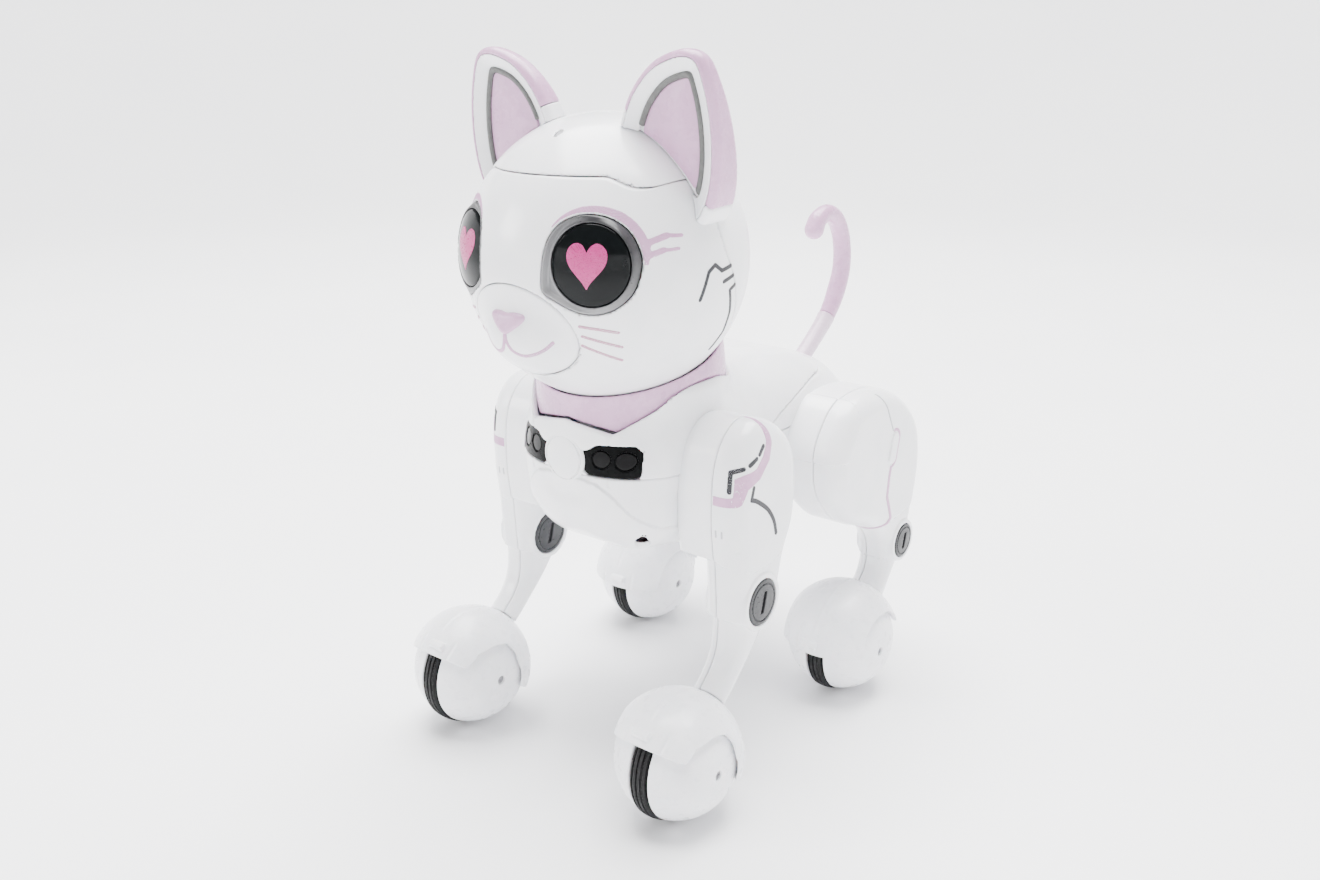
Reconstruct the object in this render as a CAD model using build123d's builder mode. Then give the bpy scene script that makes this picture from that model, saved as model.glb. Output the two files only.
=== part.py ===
"""Walking robot kitten: a hollow two-shell torso on four wheeled legs, a turning head, a tail."""

from build123d import *
import math
import os

os.makedirs("parts", exist_ok=True)

# The frame: +Z up, the face looks along -Y, the origin is on the floor under the middle of the
# whole length. The sizes below are laid out from midway between the wheels, length_shift ahead
# of it, and save moves each piece.

# --- walls and clearances -------------------------------------------------------------------
wall = 2.4
seam_gap = 0.1  # between shells of one body
run_fit = 0.05  # radial play of a shaft in its bore
move_gap = 0.5  # between skins that pass each other
end_play = 0.3

# --- wheels and feet --------------------------------------------------------------------------
wheel_radius = 26.0
tyre_width = 7.4
tyre_depth = 5.0
hub_width = 6.0
stub_radius = 2.5
stub_reach = 20.0
wheel_base = 132.0
ball_inset = 0.7  # the foot ball stays this far inside the tread
foot_width = 48.0
slot_side_gap = 0.8
slot_tread_gap = 0.7
cover_thickness = 2.4
boss_wall = 2.5
cover_side_proud = 0.6

# --- legs ---------------------------------------------------------------------------------------
body_half_width = 42.0
leg_side_gap = 1.5
leg_width = 26.5
shin_width = 20.0
leg_edge_round = 3.5
shoulder_height = 96.0  # the pivots stand this far above the axles
hip_height = 91.0
shoulder_y = -18.0
hip_y = 80.0
pivot_boss_radius = 9.0
pivot_boss_length = 6.0
drive_stub_radius = 4.0
drive_stub_length = 8.0
bearing_ring_radius = 12.5
cap_radius = 10.0
cap_thickness = 2.0
cap_slot_width = 2.6
knee_cap_radius = 8.4

# --- torso --------------------------------------------------------------------------------------
torso_height = 102.0  # the middle of the torso above the axles
torso_corner = 24.0
shell_split = 6.7  # the side seam above the middle of the torso
rump_split_y = 58.0
chest_face_y = -62.0
window_half_length = 32.0
window_height = 13.0
window_rise = 13.5
badge_radius = 10.7
badge_dome = 2.6

# --- neck, collar and head ------------------------------------------------------------------
head_radius = 57.0
head_y = -34.0
head_height = 192.0  # the middle of the head above the axles
collar_radius = 40.0
collar_wall = 3.0
collar_y = -20.0
collar_base = 22.0  # the collar seat above the middle of the torso
collar_height = 34.0
deck_thickness = 3.0
spindle_radius = 15.0
journal_radius = 12.0
journal_length = 8.5
cable_bore_radius = 8.0
spindle_flange_radius = 24.0
forehead_split = 36.0  # the crown seam above the middle of the head

# --- face ---------------------------------------------------------------------------------------
eye_turn = 36.0
eye_lift = 6.6
eye_radius = 14.6
bezel_width = 3.0
muzzle_half_width = 24.6
muzzle_half_height = 18.5
muzzle_drop = 20.0
muzzle_radius = 35.5
muzzle_bulge = 2.5
nose_width = 16.0
nose_height = 8.0
nose_thickness = 1.2
ear_depth = 18.0
ear_rim = 5.5
ear_recess = 4.0
ear_panel = 2.0

# --- tail ---------------------------------------------------------------------------------------
tail_radius = 4.8
tail_plug_radius = 4.0
tail_plug_length = 18.0
tail_socket_radius = 7.5
tail_rise = 34.0  # the plug's slope in degrees

# --- belly fittings -----------------------------------------------------------------------------
door_length = 58.0
door_width = 46.0
door_y = 33.0
door_gap = 0.25
knob_length = 5.0
knob_width = 4.0
knob_travel = 3.0
knob_y = -18.0
knob_flange = 2.5
knob_proud = 1.2
screw_head_radius = 3.0
screw_shank_radius = 1.5
screw_length = 16.0
screw_head_height = 2.0
screw_slot_width = 1.0
screw_slot_depth = 0.8
post_radius = 5.0
belly_depth = 35.0  # the belly wall below the middle of the torso, at the door

# --- insides ------------------------------------------------------------------------------------
battery_height = 18.0
battery_side_gap = 2.0
battery_floor_gap = 1.5
battery_edge_round = 4.0
board_thickness = 1.6
board_drop = 9.0
board_extra_width = 14.0
chip_size = (10.0, 8.0, 2.4)
chip_pitch = (26.0, 24.0)
board_hole_radius = 1.6
board_hole_inset = 4.0
speaker_radius = 18.0
speaker_cone_radii = (15.0, 9.0)
speaker_cone_depth = 5.0
speaker_magnet = (9.0, 4.0)
speaker_rim = 3.0
speaker_rise = 10.0
motor_radius = 8.5
motor_length = 22.0
gearbox_size = (16.0, 20.0, 14.0)
neck_motor_size = (22.0, 20.0, 24.0)
knob_plate = 1.6

# --- places that follow from the sizes above --------------------------------------------------
length_shift = 32.85
axle_z = wheel_radius
front_y = -wheel_base / 2
rear_y = wheel_base / 2
leg_inner_x = body_half_width + leg_side_gap
leg_outer_x = leg_inner_x + leg_width
shin_inner_x = leg_outer_x - shin_width
leg_seam_x = leg_outer_x - shin_width / 2 - 3.0
foot_x = leg_outer_x - shin_width / 2
shoulder_z = axle_z + shoulder_height
hip_z = axle_z + hip_height
torso_z = axle_z + torso_height
seam_z = torso_z + shell_split
collar_z = torso_z + collar_base
head_z = axle_z + head_height
ball_radius = wheel_radius - ball_inset
cover_radius = ball_radius + cover_thickness
slot_half = tyre_width / 2 + slot_side_gap
window_z = torso_z + window_rise
head_center = (0, head_y, head_z)
pivot_inner_x = leg_inner_x - pivot_boss_length
stub_end_x = pivot_inner_x - drive_stub_length


def save(piece, name):
    """Moves the piece to the middle of the whole length and writes it."""
    placed = Pos(0, -length_shift, 0) * piece
    placed.label = name
    export_step(placed, f"parts/{name}.step")


# ---------------------------------------------------------------------------- wheels and feet
def make_wheel(prefix, side, foot_y):
    """The hub with its stub axles, and the tyre on it."""
    middle = (side * foot_x, foot_y, axle_z)
    rim_radius = wheel_radius - tyre_depth
    with BuildPart() as wheel_hub:
        with Locations(Location(middle, (0, 90, 0))):
            Cylinder(rim_radius, hub_width)
            Cylinder(stub_radius, 2 * stub_reach)
            with PolarLocations(rim_radius * 0.6, 5):
                Cylinder(rim_radius * 0.2, hub_width, mode=Mode.SUBTRACT)
    save(wheel_hub.part, f"{prefix}_wheel_hub")

    with BuildPart() as tyre:
        with Locations(Location(middle, (0, 90, 0))):
            Cylinder(wheel_radius, tyre_width)
        fillet(tyre.edges(), tyre_width * 0.2)
        with Locations(Location(middle, (0, 90, 0))):
            Cylinder(rim_radius, tyre_width, mode=Mode.SUBTRACT)
    save(tyre.part, f"{prefix}_tyre")


def make_foot_half(name, side, foot_y, outward):
    """One half of the ball round the wheel: a turned shell with the bore for the stub axle."""
    middle = (side * foot_x, foot_y, axle_z)
    half_width = foot_width / 2
    with BuildPart() as foot_half:
        with BuildSketch(Plane(origin=middle, x_dir=(side * outward, 0, 0), z_dir=(0, 1, 0))):
            Circle(ball_radius)
            with Locations((slot_half, 0)):
                Rectangle(half_width - slot_half, ball_radius, align=(Align.MIN, Align.MIN),
                          mode=Mode.INTERSECT)
        revolve(axis=Axis(middle, (1, 0, 0)))
        with BuildSketch(Plane(origin=middle, x_dir=(side * outward, 0, 0), z_dir=(0, 1, 0))):
            Circle(ball_radius - wall)
            with Locations((slot_half, 0)):
                Rectangle(half_width - wall - slot_half, ball_radius, align=(Align.MIN, Align.MIN),
                          mode=Mode.INTERSECT)
        revolve(axis=Axis(middle, (1, 0, 0)), mode=Mode.SUBTRACT)
        inward_face = Plane(origin=middle, z_dir=(side * outward, 0, 0)).offset(slot_half)
        with BuildSketch(inward_face):
            Circle(stub_radius + boss_wall)
        extrude(amount=half_width - slot_half - wall / 2)
        with BuildSketch(inward_face):
            Circle(stub_radius + run_fit)
        extrude(amount=stub_reach + end_play - slot_half, mode=Mode.SUBTRACT)
    save(foot_half.part, name)


def make_paw_cover(name, side, foot_y, pitch):
    """The outer cap over the top and back of the ball, with a groove that clears the tread."""
    middle = (side * foot_x, foot_y, axle_z)
    half_width = foot_width / 2 + cover_side_proud
    with BuildPart() as paw_cover:
        with BuildSketch(Plane(origin=middle, x_dir=(1, 0, 0), z_dir=(0, 1, 0))):
            Circle(cover_radius)
            Circle(ball_radius + seam_gap, mode=Mode.SUBTRACT)
            Rectangle(2 * slot_half, 2 * (wheel_radius + slot_tread_gap), mode=Mode.SUBTRACT)
            Rectangle(2 * half_width, cover_radius, align=(Align.CENTER, Align.MIN),
                      mode=Mode.INTERSECT)
        revolve(axis=Axis(middle, (1, 0, 0)))
        with Locations(Location(middle, (pitch, 0, 0))):
            with Locations((0, -cover_radius / 2, -cover_radius * 0.43)):
                Box(3 * cover_radius, 2 * cover_radius, 2 * cover_radius, mode=Mode.SUBTRACT)
            with Locations((0, cover_radius, -cover_radius * 1.15)):
                Box(3 * cover_radius, 2 * cover_radius, 2 * cover_radius, mode=Mode.SUBTRACT)
    save(paw_cover.part, name)


# --------------------------------------------------------------------------------------- legs
def front_leg_points():
    """The side outline of a foreleg, from the shoulder dome round by the heel to the chest."""
    top = shoulder_z + 36
    elbow_z = shoulder_z - 42
    return [
        (shoulder_y - 2, top), (shoulder_y + 14, top - 6), (shoulder_y + 24, shoulder_z + 16),
        (shoulder_y + 25, shoulder_z - 10), (shoulder_y + 18, shoulder_z - 27),
        (shoulder_y + 12, elbow_z - 5), (shoulder_y + 2, elbow_z - 20), (front_y + 38, axle_z + 22),
        (front_y + 24, axle_z + 10), (front_y + 12, axle_z + 4), (front_y + 6, axle_z + 12),
        (front_y + 17, axle_z + 21), (shoulder_y - 19, elbow_z - 18),
        (shoulder_y - 19.5, shoulder_z - 27), (shoulder_y - 22, shoulder_z - 5),
        (shoulder_y - 21, shoulder_z + 18), (shoulder_y - 14, top - 5),
    ]


def rear_leg_points():
    """The side outline of a hind leg, from the rump round by the hock to the flank."""
    top = hip_z + 31
    knee_z = axle_z + 39
    return [
        (hip_y - 10, top), (hip_y + 8, top - 2), (hip_y + 26, top - 11), (hip_y + 39, hip_z + 6),
        (hip_y + 43, hip_z - 14), (hip_y + 39, knee_z + 14), (hip_y + 33, knee_z - 4),
        (hip_y + 25, knee_z - 15), (rear_y + 28, axle_z + 10), (rear_y + 15, axle_z - 1),
        (rear_y + 4, axle_z + 5), (rear_y + 7, axle_z + 17), (hip_y + 8, knee_z - 16),
        (hip_y + 12, knee_z - 5), (hip_y + 7, knee_z + 7), (hip_y - 6, knee_z + 16),
        (hip_y - 22, hip_z - 29),
        (hip_y - 39, hip_z - 11), (hip_y - 42, hip_z + 8), (hip_y - 34, hip_z + 22),
        (hip_y - 24, hip_z + 29),
    ]


def inset_outline(points, amount):
    """The outline moved in, at each point square to the line through its neighbours."""
    moved = []
    for number, (y, z) in enumerate(points):
        after = points[(number + 1) % len(points)]
        way = (Vector(*after) - Vector(*points[number - 1])).normalized()
        moved.append((y + amount * way.Y, z - amount * way.X))
    return moved


def make_leg(prefix, side, foot_y, points, pivot, cap_place, cap_size):
    """Both shells of a leg and its two cover caps; the inner shell carries the pivot boss."""
    inside = inset_outline(points, wall)
    cuff_z = cap_place[1] + cap_size + 3.0
    with BuildPart() as leg_outer:
        with BuildSketch(Plane.YZ.offset(leg_seam_x)):
            with BuildLine():
                Spline(*points, periodic=True)
            make_face()
        extrude(amount=leg_outer_x - leg_seam_x)
        fillet(leg_outer.faces().sort_by(Axis.X)[-1].edges(), leg_edge_round)
        with BuildSketch(Plane.YZ.offset(leg_seam_x)):
            with BuildLine():
                Spline(*inside, periodic=True)
            make_face()
        extrude(amount=leg_outer_x - leg_seam_x - wall, mode=Mode.SUBTRACT)
        with BuildSketch(Plane.YZ.offset(leg_outer_x - cap_thickness / 2)):
            with Locations(cap_place):
                Circle(cap_size + seam_gap)
        extrude(amount=cap_thickness, mode=Mode.SUBTRACT)
        with BuildSketch(Plane.YZ.offset(leg_seam_x)):
            with Locations((foot_y, axle_z)):
                Circle(cover_radius + seam_gap)
        extrude(amount=leg_width, both=True, mode=Mode.SUBTRACT)
        if side < 0:
            mirror(about=Plane.YZ, mode=Mode.REPLACE)
    save(leg_outer.part, f"{prefix}_leg_outer")

    with BuildPart() as leg_inner:
        with BuildSketch(Plane.YZ.offset(leg_inner_x)):
            with BuildLine():
                Spline(*points, periodic=True)
            make_face()
        extrude(amount=leg_seam_x - seam_gap - leg_inner_x)
        with Locations((leg_inner_x, 0, cuff_z)):
            Box(2 * (shin_inner_x - leg_inner_x), 3 * wheel_base, 3 * wheel_base,
                align=(Align.CENTER, Align.CENTER, Align.MAX), mode=Mode.SUBTRACT)
        with BuildSketch(Plane.YZ.offset(shin_inner_x + wall)):
            with BuildLine():
                Spline(*inside, periodic=True)
            make_face()
        extrude(amount=leg_seam_x - shin_inner_x - wall, mode=Mode.SUBTRACT)
        with BuildSketch(Plane.YZ.offset(leg_inner_x + wall)):
            with BuildLine():
                Spline(*inside, periodic=True)
            make_face()
            with Locations((0, cuff_z + wall)):
                Rectangle(3 * wheel_base, 3 * wheel_base, align=(Align.CENTER, Align.MAX),
                          mode=Mode.SUBTRACT)
        extrude(amount=shin_inner_x - leg_inner_x, mode=Mode.SUBTRACT)
        with BuildSketch(Plane.YZ.offset(pivot_inner_x)):
            with Locations(pivot):
                Circle(pivot_boss_radius)
        extrude(amount=leg_inner_x + wall - pivot_inner_x)
        with BuildSketch(Plane.YZ.offset(stub_end_x)):
            with Locations(pivot):
                Circle(drive_stub_radius)
        extrude(amount=drive_stub_length)
        with BuildSketch(Plane.YZ.offset(shin_inner_x - cap_thickness / 2)):
            with Locations(cap_place):
                Circle(cap_size + seam_gap)
        extrude(amount=cap_thickness, mode=Mode.SUBTRACT)
        with BuildSketch(Plane.YZ.offset(leg_seam_x)):
            with Locations((foot_y, axle_z)):
                Circle(cover_radius + seam_gap)
        extrude(amount=leg_width, both=True, mode=Mode.SUBTRACT)
        if side < 0:
            mirror(about=Plane.YZ, mode=Mode.REPLACE)
    save(leg_inner.part, f"{prefix}_leg_inner")

    with BuildPart() as pivot_caps:
        for face_x in (shin_inner_x - cap_thickness / 2, leg_outer_x - cap_thickness / 2):
            with BuildSketch(Plane.YZ.offset(face_x)):
                with Locations(cap_place):
                    Circle(cap_size)
            extrude(amount=cap_thickness)
        fillet(pivot_caps.edges().filter_by(GeomType.CIRCLE), cap_thickness * 0.2)
        for slot_x in (shin_inner_x - cap_thickness / 2, leg_outer_x + cap_thickness / 2):
            with Locations((slot_x, *cap_place)):
                Box(cap_thickness, 2 * cap_size, cap_slot_width, mode=Mode.SUBTRACT)
        if side < 0:
            mirror(about=Plane.YZ, mode=Mode.REPLACE)
    save(pivot_caps.part, f"{prefix}_pivot_caps")


front_pivot = (shoulder_y, shoulder_z)
rear_pivot = (hip_y, hip_z)
elbow_place = (shoulder_y - 2.5, shoulder_z - 42.0)
knee_place = (hip_y + 26.0, axle_z + 39.0)
for side, side_name in ((1, "left"), (-1, "right")):
    for end_name, foot_y, pitch in (("front", front_y, 0), ("rear", rear_y, 28)):
        prefix = f"{end_name}_{side_name}"
        make_wheel(prefix, side, foot_y)
        make_foot_half(f"{prefix}_foot_outer", side, foot_y, 1)
        make_foot_half(f"{prefix}_foot_inner", side, foot_y, -1)
        make_paw_cover(f"{prefix}_paw_cover", side, foot_y, pitch)
    make_leg(f"front_{side_name}", side, front_y, front_leg_points(), front_pivot,
             elbow_place, cap_radius)
    make_leg(f"rear_{side_name}", side, rear_y, rear_leg_points(), rear_pivot,
             knee_place, knee_cap_radius)


# ------------------------------------------------------------------------------------- torso
def torso_body(inset):
    """The lofted torso, made smaller all round by the inset."""
    sections = [
        # along Y, half width, belly below and back above the middle of the torso
        (chest_face_y, body_half_width - 25, 13, 24),
        (chest_face_y + 5, body_half_width - 13, 22, 29),
        (chest_face_y + 17, body_half_width - 3, 30, 33),
        (chest_face_y + 42, body_half_width, 34, 36),
        (chest_face_y + 77, body_half_width, 35, 37),
        (chest_face_y + 107, body_half_width, 37, 37),
        (chest_face_y + 137, body_half_width, 38, 33),
        (chest_face_y + 162, body_half_width - 5, 34, 24),
        (chest_face_y + 181, body_half_width - 14, 25, 13),
        (chest_face_y + 192, body_half_width - 27, 14, 2),
    ]
    with BuildPart() as body:
        for number, (y, half_width, below, above) in enumerate(sections):
            if number == 0:
                y = y + inset
            if number == len(sections) - 1:
                y = y - inset
            width = 2 * (half_width - inset)
            height = below + above - 2 * inset
            with BuildSketch(Plane.XZ.offset(-y)):
                with Locations((0, torso_z + (above - below) / 2)):
                    RectangleRounded(width, height, min(torso_corner, 0.45 * min(width, height)))
        loft()
    return body.part


def across(span, low, high):
    """A block over the whole width that keeps one part of the torso."""
    length = span[1] - span[0]
    block = Box(4 * body_half_width, length, high - low, mode=Mode.PRIVATE)
    return Pos(0, (span[0] + span[1]) / 2, (low + high) / 2) * block


torso_skin = torso_body(0.0)
torso_hollow = torso_body(wall)
tail_root = (0, chest_face_y + 184, torso_z + 19)
tail_turn = math.radians(tail_rise)
tail_way = Vector(0, math.cos(tail_turn), math.sin(tail_turn))
tail_plane = Plane(origin=tail_root, x_dir=(1, 0, 0), z_dir=tail_way)
collar_seat = Pos(0, collar_y, collar_z) * Cylinder(
    collar_radius + seam_gap, 4 * collar_height,
    align=(Align.CENTER, Align.CENTER, Align.MIN))
far = 4 * wheel_base
window_block = Pos(0, chest_face_y, window_z) * Box(
    2 * window_half_length, 6 * wall + 24, window_height)
window_opening = Pos(0, chest_face_y, window_z) * Box(
    2 * (window_half_length + seam_gap), 6 * wall + 24, window_height + 2 * seam_gap)
post_places = [(27, chest_face_y + 16), (-27, chest_face_y + 16),
               (20, chest_face_y + 170), (-20, chest_face_y + 170)]
pivots = [(shoulder_y, shoulder_z), (hip_y, hip_z)]


def add_bearing_rings():
    """Rings inside the side walls that the leg bosses turn in."""
    ring_depth = body_half_width - 1.0 - pivot_inner_x
    for y, z in pivots:
        for side in (1, -1):
            with Locations(Location((side * (body_half_width - 1.0 - ring_depth / 2), y, z),
                                    (0, 90, 0))):
                Cylinder(bearing_ring_radius, ring_depth)


def cut_bearings():
    """The holes through wall and ring for the leg bosses."""
    for y, z in pivots:
        for side in (1, -1):
            with Locations(Location((side * body_half_width, y, z), (0, 90, 0))):
                Cylinder(pivot_boss_radius + run_fit, 4 * pivot_boss_length, mode=Mode.SUBTRACT)


screw_seat_z = seam_z - screw_length / 2
belly_cut_height = 2 * (torso_z - 22)  # of a cutter that starts at the floor and clears the wall
with BuildPart() as belly_shell:
    add(torso_skin)
    add(torso_hollow, mode=Mode.SUBTRACT)
    add_bearing_rings()
    for x, y in post_places[:2]:
        with Locations((x, y, torso_z)):
            Cylinder(post_radius, 4 * body_half_width)
    add(torso_skin, mode=Mode.INTERSECT)
    add(across((-far, rump_split_y - seam_gap), -far, seam_z - seam_gap), mode=Mode.INTERSECT)
    cut_bearings()
    add(window_opening, mode=Mode.SUBTRACT)
    with Locations((0, door_y, 0)):
        Box(door_width, door_length, belly_cut_height, mode=Mode.SUBTRACT)
    with Locations((0, knob_y + knob_travel / 2, 0)):
        Box(knob_width + 2 * door_gap, knob_length + knob_travel + 2 * door_gap,
            belly_cut_height, mode=Mode.SUBTRACT)
    for x, y in post_places[:2]:
        with Locations((x, y, screw_seat_z)):
            Cylinder(screw_head_radius + run_fit, far,
                     align=(Align.CENTER, Align.CENTER, Align.MAX), mode=Mode.SUBTRACT)
            Cylinder(screw_shank_radius + run_fit, far, mode=Mode.SUBTRACT)
save(belly_shell.part, "belly_shell")

with BuildPart() as rump_shell:
    add(torso_skin)
    add(torso_hollow, mode=Mode.SUBTRACT)
    add_bearing_rings()
    for x, y in post_places[2:]:
        with Locations((x, y, torso_z)):
            Cylinder(post_radius, 4 * body_half_width)
    add(torso_skin, mode=Mode.INTERSECT)
    add(across((rump_split_y, far), -far, seam_z - seam_gap), mode=Mode.INTERSECT)
    cut_bearings()
    with Locations((0, door_y, 0)):
        Box(door_width, door_length, belly_cut_height, mode=Mode.SUBTRACT)
    for x, y in post_places[2:]:
        with Locations((x, y, screw_seat_z)):
            Cylinder(screw_head_radius + run_fit, far,
                     align=(Align.CENTER, Align.CENTER, Align.MAX), mode=Mode.SUBTRACT)
            Cylinder(screw_shank_radius + run_fit, far, mode=Mode.SUBTRACT)
save(rump_shell.part, "rump_shell")

with BuildPart() as back_shell:
    add(torso_skin)
    add(torso_hollow, mode=Mode.SUBTRACT)
    add(collar_seat, mode=Mode.SUBTRACT)
    with Locations((0, collar_y, collar_z)):
        Cylinder(collar_radius + 4.0, deck_thickness,
                 align=(Align.CENTER, Align.CENTER, Align.MAX))
    with Locations((0, head_y, collar_z)):
        Cylinder(journal_radius + 4.0, journal_length - 2.0,
                 align=(Align.CENTER, Align.CENTER, Align.MAX))
    for x, y in post_places:
        with Locations((x, y, seam_z)):
            Cylinder(post_radius, collar_z - deck_thickness / 2 - seam_z,
                     align=(Align.CENTER, Align.CENTER, Align.MIN))
    with Locations(tail_plane.location):
        Cylinder(tail_socket_radius, tail_plug_length,
                 align=(Align.CENTER, Align.CENTER, Align.MAX))
    add(torso_skin, mode=Mode.INTERSECT)
    add(across((-far, far), seam_z, far), mode=Mode.INTERSECT)
    add(window_opening, mode=Mode.SUBTRACT)
    with Locations((0, head_y, collar_z)):
        Cylinder(journal_radius + run_fit, 4 * journal_length, mode=Mode.SUBTRACT)
    for x, y in post_places:
        with Locations((x, y, seam_z)):
            Cylinder(screw_shank_radius, screw_length, mode=Mode.SUBTRACT)
    with Locations(tail_plane.location):
        Cylinder(tail_plug_radius + run_fit, 2 * (tail_plug_length + end_play),
                 mode=Mode.SUBTRACT)
save(back_shell.part, "back_shell")

with BuildPart() as sensor_window:
    add(torso_skin)
    add(torso_hollow, mode=Mode.SUBTRACT)
    add(window_block, mode=Mode.INTERSECT)
save(sensor_window.part, "sensor_window")

badge_plane = Plane(origin=(0, chest_face_y, window_z - 1.0), x_dir=(1, 0, 0), z_dir=(0, -1, 0))
with BuildPart() as badge:
    with BuildSketch(badge_plane):
        Circle(badge_radius)
    extrude(amount=badge_dome)
    fillet(badge.faces().sort_by(Axis.Y)[0].edges(), badge_dome * 0.8)
save(badge.part, "badge")

with BuildPart() as collar:
    with Locations((0, collar_y, collar_z)):
        Cylinder(collar_radius, collar_height, align=(Align.CENTER, Align.CENTER, Align.MIN))
        Cylinder(collar_radius - collar_wall, collar_height - collar_wall,
                 align=(Align.CENTER, Align.CENTER, Align.MIN), mode=Mode.SUBTRACT)
    with Locations(head_center):
        Sphere(head_radius + move_gap, mode=Mode.SUBTRACT)
save(collar.part, "collar")

with BuildPart() as battery_door:
    add(torso_skin)
    add(torso_hollow, mode=Mode.SUBTRACT)
    with Locations((0, door_y, 0)):
        Box(door_width - 2 * door_gap, door_length - 2 * door_gap, belly_cut_height,
            mode=Mode.INTERSECT)
save(battery_door.part, "battery_door")

belly_z = torso_z - belly_depth
with BuildPart() as battery_pack:
    with Locations((0, door_y, belly_z + wall + battery_floor_gap)):
        Box(door_width - 2 * battery_side_gap, door_length - 3 * battery_side_gap, battery_height,
            align=(Align.CENTER, Align.CENTER, Align.MIN))
    fillet(battery_pack.edges().filter_by(Axis.Y), battery_edge_round)
save(battery_pack.part, "battery_pack")

with BuildPart() as main_board:
    with Locations((0, door_y, torso_z - board_drop)):
        Box(door_width + board_extra_width, door_length - board_hole_inset, board_thickness)
        with GridLocations(*chip_pitch, 2, 2):
            with Locations((0, 0, (board_thickness + chip_size[2]) / 2)):
                Box(*chip_size)
        with GridLocations(door_width + board_extra_width - 2 * board_hole_inset,
                           door_length - 3 * board_hole_inset, 2, 2):
            Cylinder(board_hole_radius, 2 * board_thickness, mode=Mode.SUBTRACT)
save(main_board.part, "main_board")

with BuildPart() as speaker:
    with Locations((0, door_y, torso_z + speaker_rise)):
        Cylinder(speaker_radius, speaker_rim)
        Cone(*speaker_cone_radii, speaker_cone_depth,
             align=(Align.CENTER, Align.CENTER, Align.MAX))
        with Locations((0, 0, -speaker_cone_depth)):
            Cylinder(*speaker_magnet, align=(Align.CENTER, Align.CENTER, Align.MAX))
save(speaker.part, "speaker")

with BuildPart() as power_switch:
    with Locations((0, knob_y, belly_z + wall + 2.0)):
        Box(knob_width + 2 * knob_flange, knob_length + 2 * knob_flange, knob_plate,
            align=(Align.CENTER, Align.CENTER, Align.MIN))
        Box(knob_width, knob_length, wall + 3.0 + knob_proud,
            align=(Align.CENTER, Align.CENTER, Align.MAX))
save(power_switch.part, "power_switch")

with BuildPart() as gear_motors:
    for y, z in pivots:
        for side in (1, -1):
            with Locations(Location((side * (pivot_inner_x - motor_length / 2), y, z),
                                    (0, 90, 0))):
                Cylinder(motor_radius, motor_length)
                Box(*gearbox_size)
    with Locations((0, collar_y + 8.0, torso_z + 1.0)):
        Box(*neck_motor_size)
    for y, z in pivots:
        for side in (1, -1):
            with Locations(Location((side * pivot_inner_x, y, z), (0, 90, 0))):
                Cylinder(drive_stub_radius + run_fit, 2 * (drive_stub_length + end_play),
                         mode=Mode.SUBTRACT)
save(gear_motors.part, "gear_motors")

with BuildPart() as torso_screws:
    for x, y in post_places:
        with Locations((x, y, screw_seat_z)):
            Cylinder(screw_head_radius, screw_head_height,
                     align=(Align.CENTER, Align.CENTER, Align.MAX))
            Cylinder(screw_shank_radius, screw_length * 0.9,
                     align=(Align.CENTER, Align.CENTER, Align.MIN))
        with Locations((x, y, screw_seat_z - screw_head_height)):
            Box(screw_slot_width, 1.2 * screw_head_radius, 2 * screw_slot_depth,
                mode=Mode.SUBTRACT)
            Box(1.2 * screw_head_radius, screw_slot_width, 2 * screw_slot_depth,
                mode=Mode.SUBTRACT)
save(torso_screws.part, "torso_screws")


# -------------------------------------------------------------------------------------- tail
with BuildPart() as tail:
    with BuildLine() as tail_line:
        tail_start = Vector(*tail_root)
        Spline(tail_start, tail_start + Vector(0, 19, 14), tail_start + Vector(0, 32, 34),
               tail_start + Vector(0, 31, 56), tail_start + Vector(0, 16, 69),
               tail_start + Vector(0, 3, 62), tangents=(tail_way, Vector(0, -0.6, -0.8)))
    with BuildSketch(tail_plane):
        Circle(tail_radius)
    sweep(path=tail_line.line)
    with Locations(tail_start + Vector(0, 3, 62)):
        Sphere(tail_radius)
    with Locations(tail_plane.location):
        Cylinder(tail_plug_radius, tail_plug_length,
                 align=(Align.CENTER, Align.CENTER, Align.MAX))
save(tail.part, "tail")


# -------------------------------------------------------------------------------------- head
def eye_plane(side):
    """The plane through the middle of the head that faces out through one eye."""
    turn = math.radians(eye_turn)
    lift = math.radians(eye_lift)
    way = (side * math.sin(turn) * math.cos(lift), -math.cos(turn) * math.cos(lift),
           math.sin(lift))
    return Plane(origin=head_center, z_dir=way)


def head_shell():
    """The whole hollow head, before it is cut into its three shells."""
    with BuildPart() as shell:
        with Locations(head_center):
            Sphere(head_radius)
            Sphere(head_radius - wall, mode=Mode.SUBTRACT)
        with Locations((0, head_y, head_z - head_radius)):
            Cylinder(spindle_radius + seam_gap, head_radius, mode=Mode.SUBTRACT)
    return shell.part


whole_head = head_shell()
crown_z = head_z + forehead_split
muzzle_z = head_z - muzzle_drop
muzzle_center = (0, head_y - head_radius + muzzle_radius - muzzle_bulge, muzzle_z + 5.0)

with BuildPart() as face_shell:
    add(whole_head)
    add(across((-far, head_y - seam_gap), -far, crown_z - seam_gap), mode=Mode.INTERSECT)
    for side in (1, -1):
        with BuildSketch(eye_plane(side)):
            Circle(eye_radius + bezel_width + seam_gap)
        extrude(amount=2 * head_radius, mode=Mode.SUBTRACT)
save(face_shell.part, "face_shell")

with BuildPart() as head_back_shell:
    add(whole_head)
    add(across((head_y, far), -far, crown_z - seam_gap), mode=Mode.INTERSECT)
save(head_back_shell.part, "head_back_shell")

with BuildPart() as crown_cap:
    add(whole_head)
    add(across((-far, far), crown_z, far), mode=Mode.INTERSECT)
save(crown_cap.part, "crown_cap")

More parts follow.
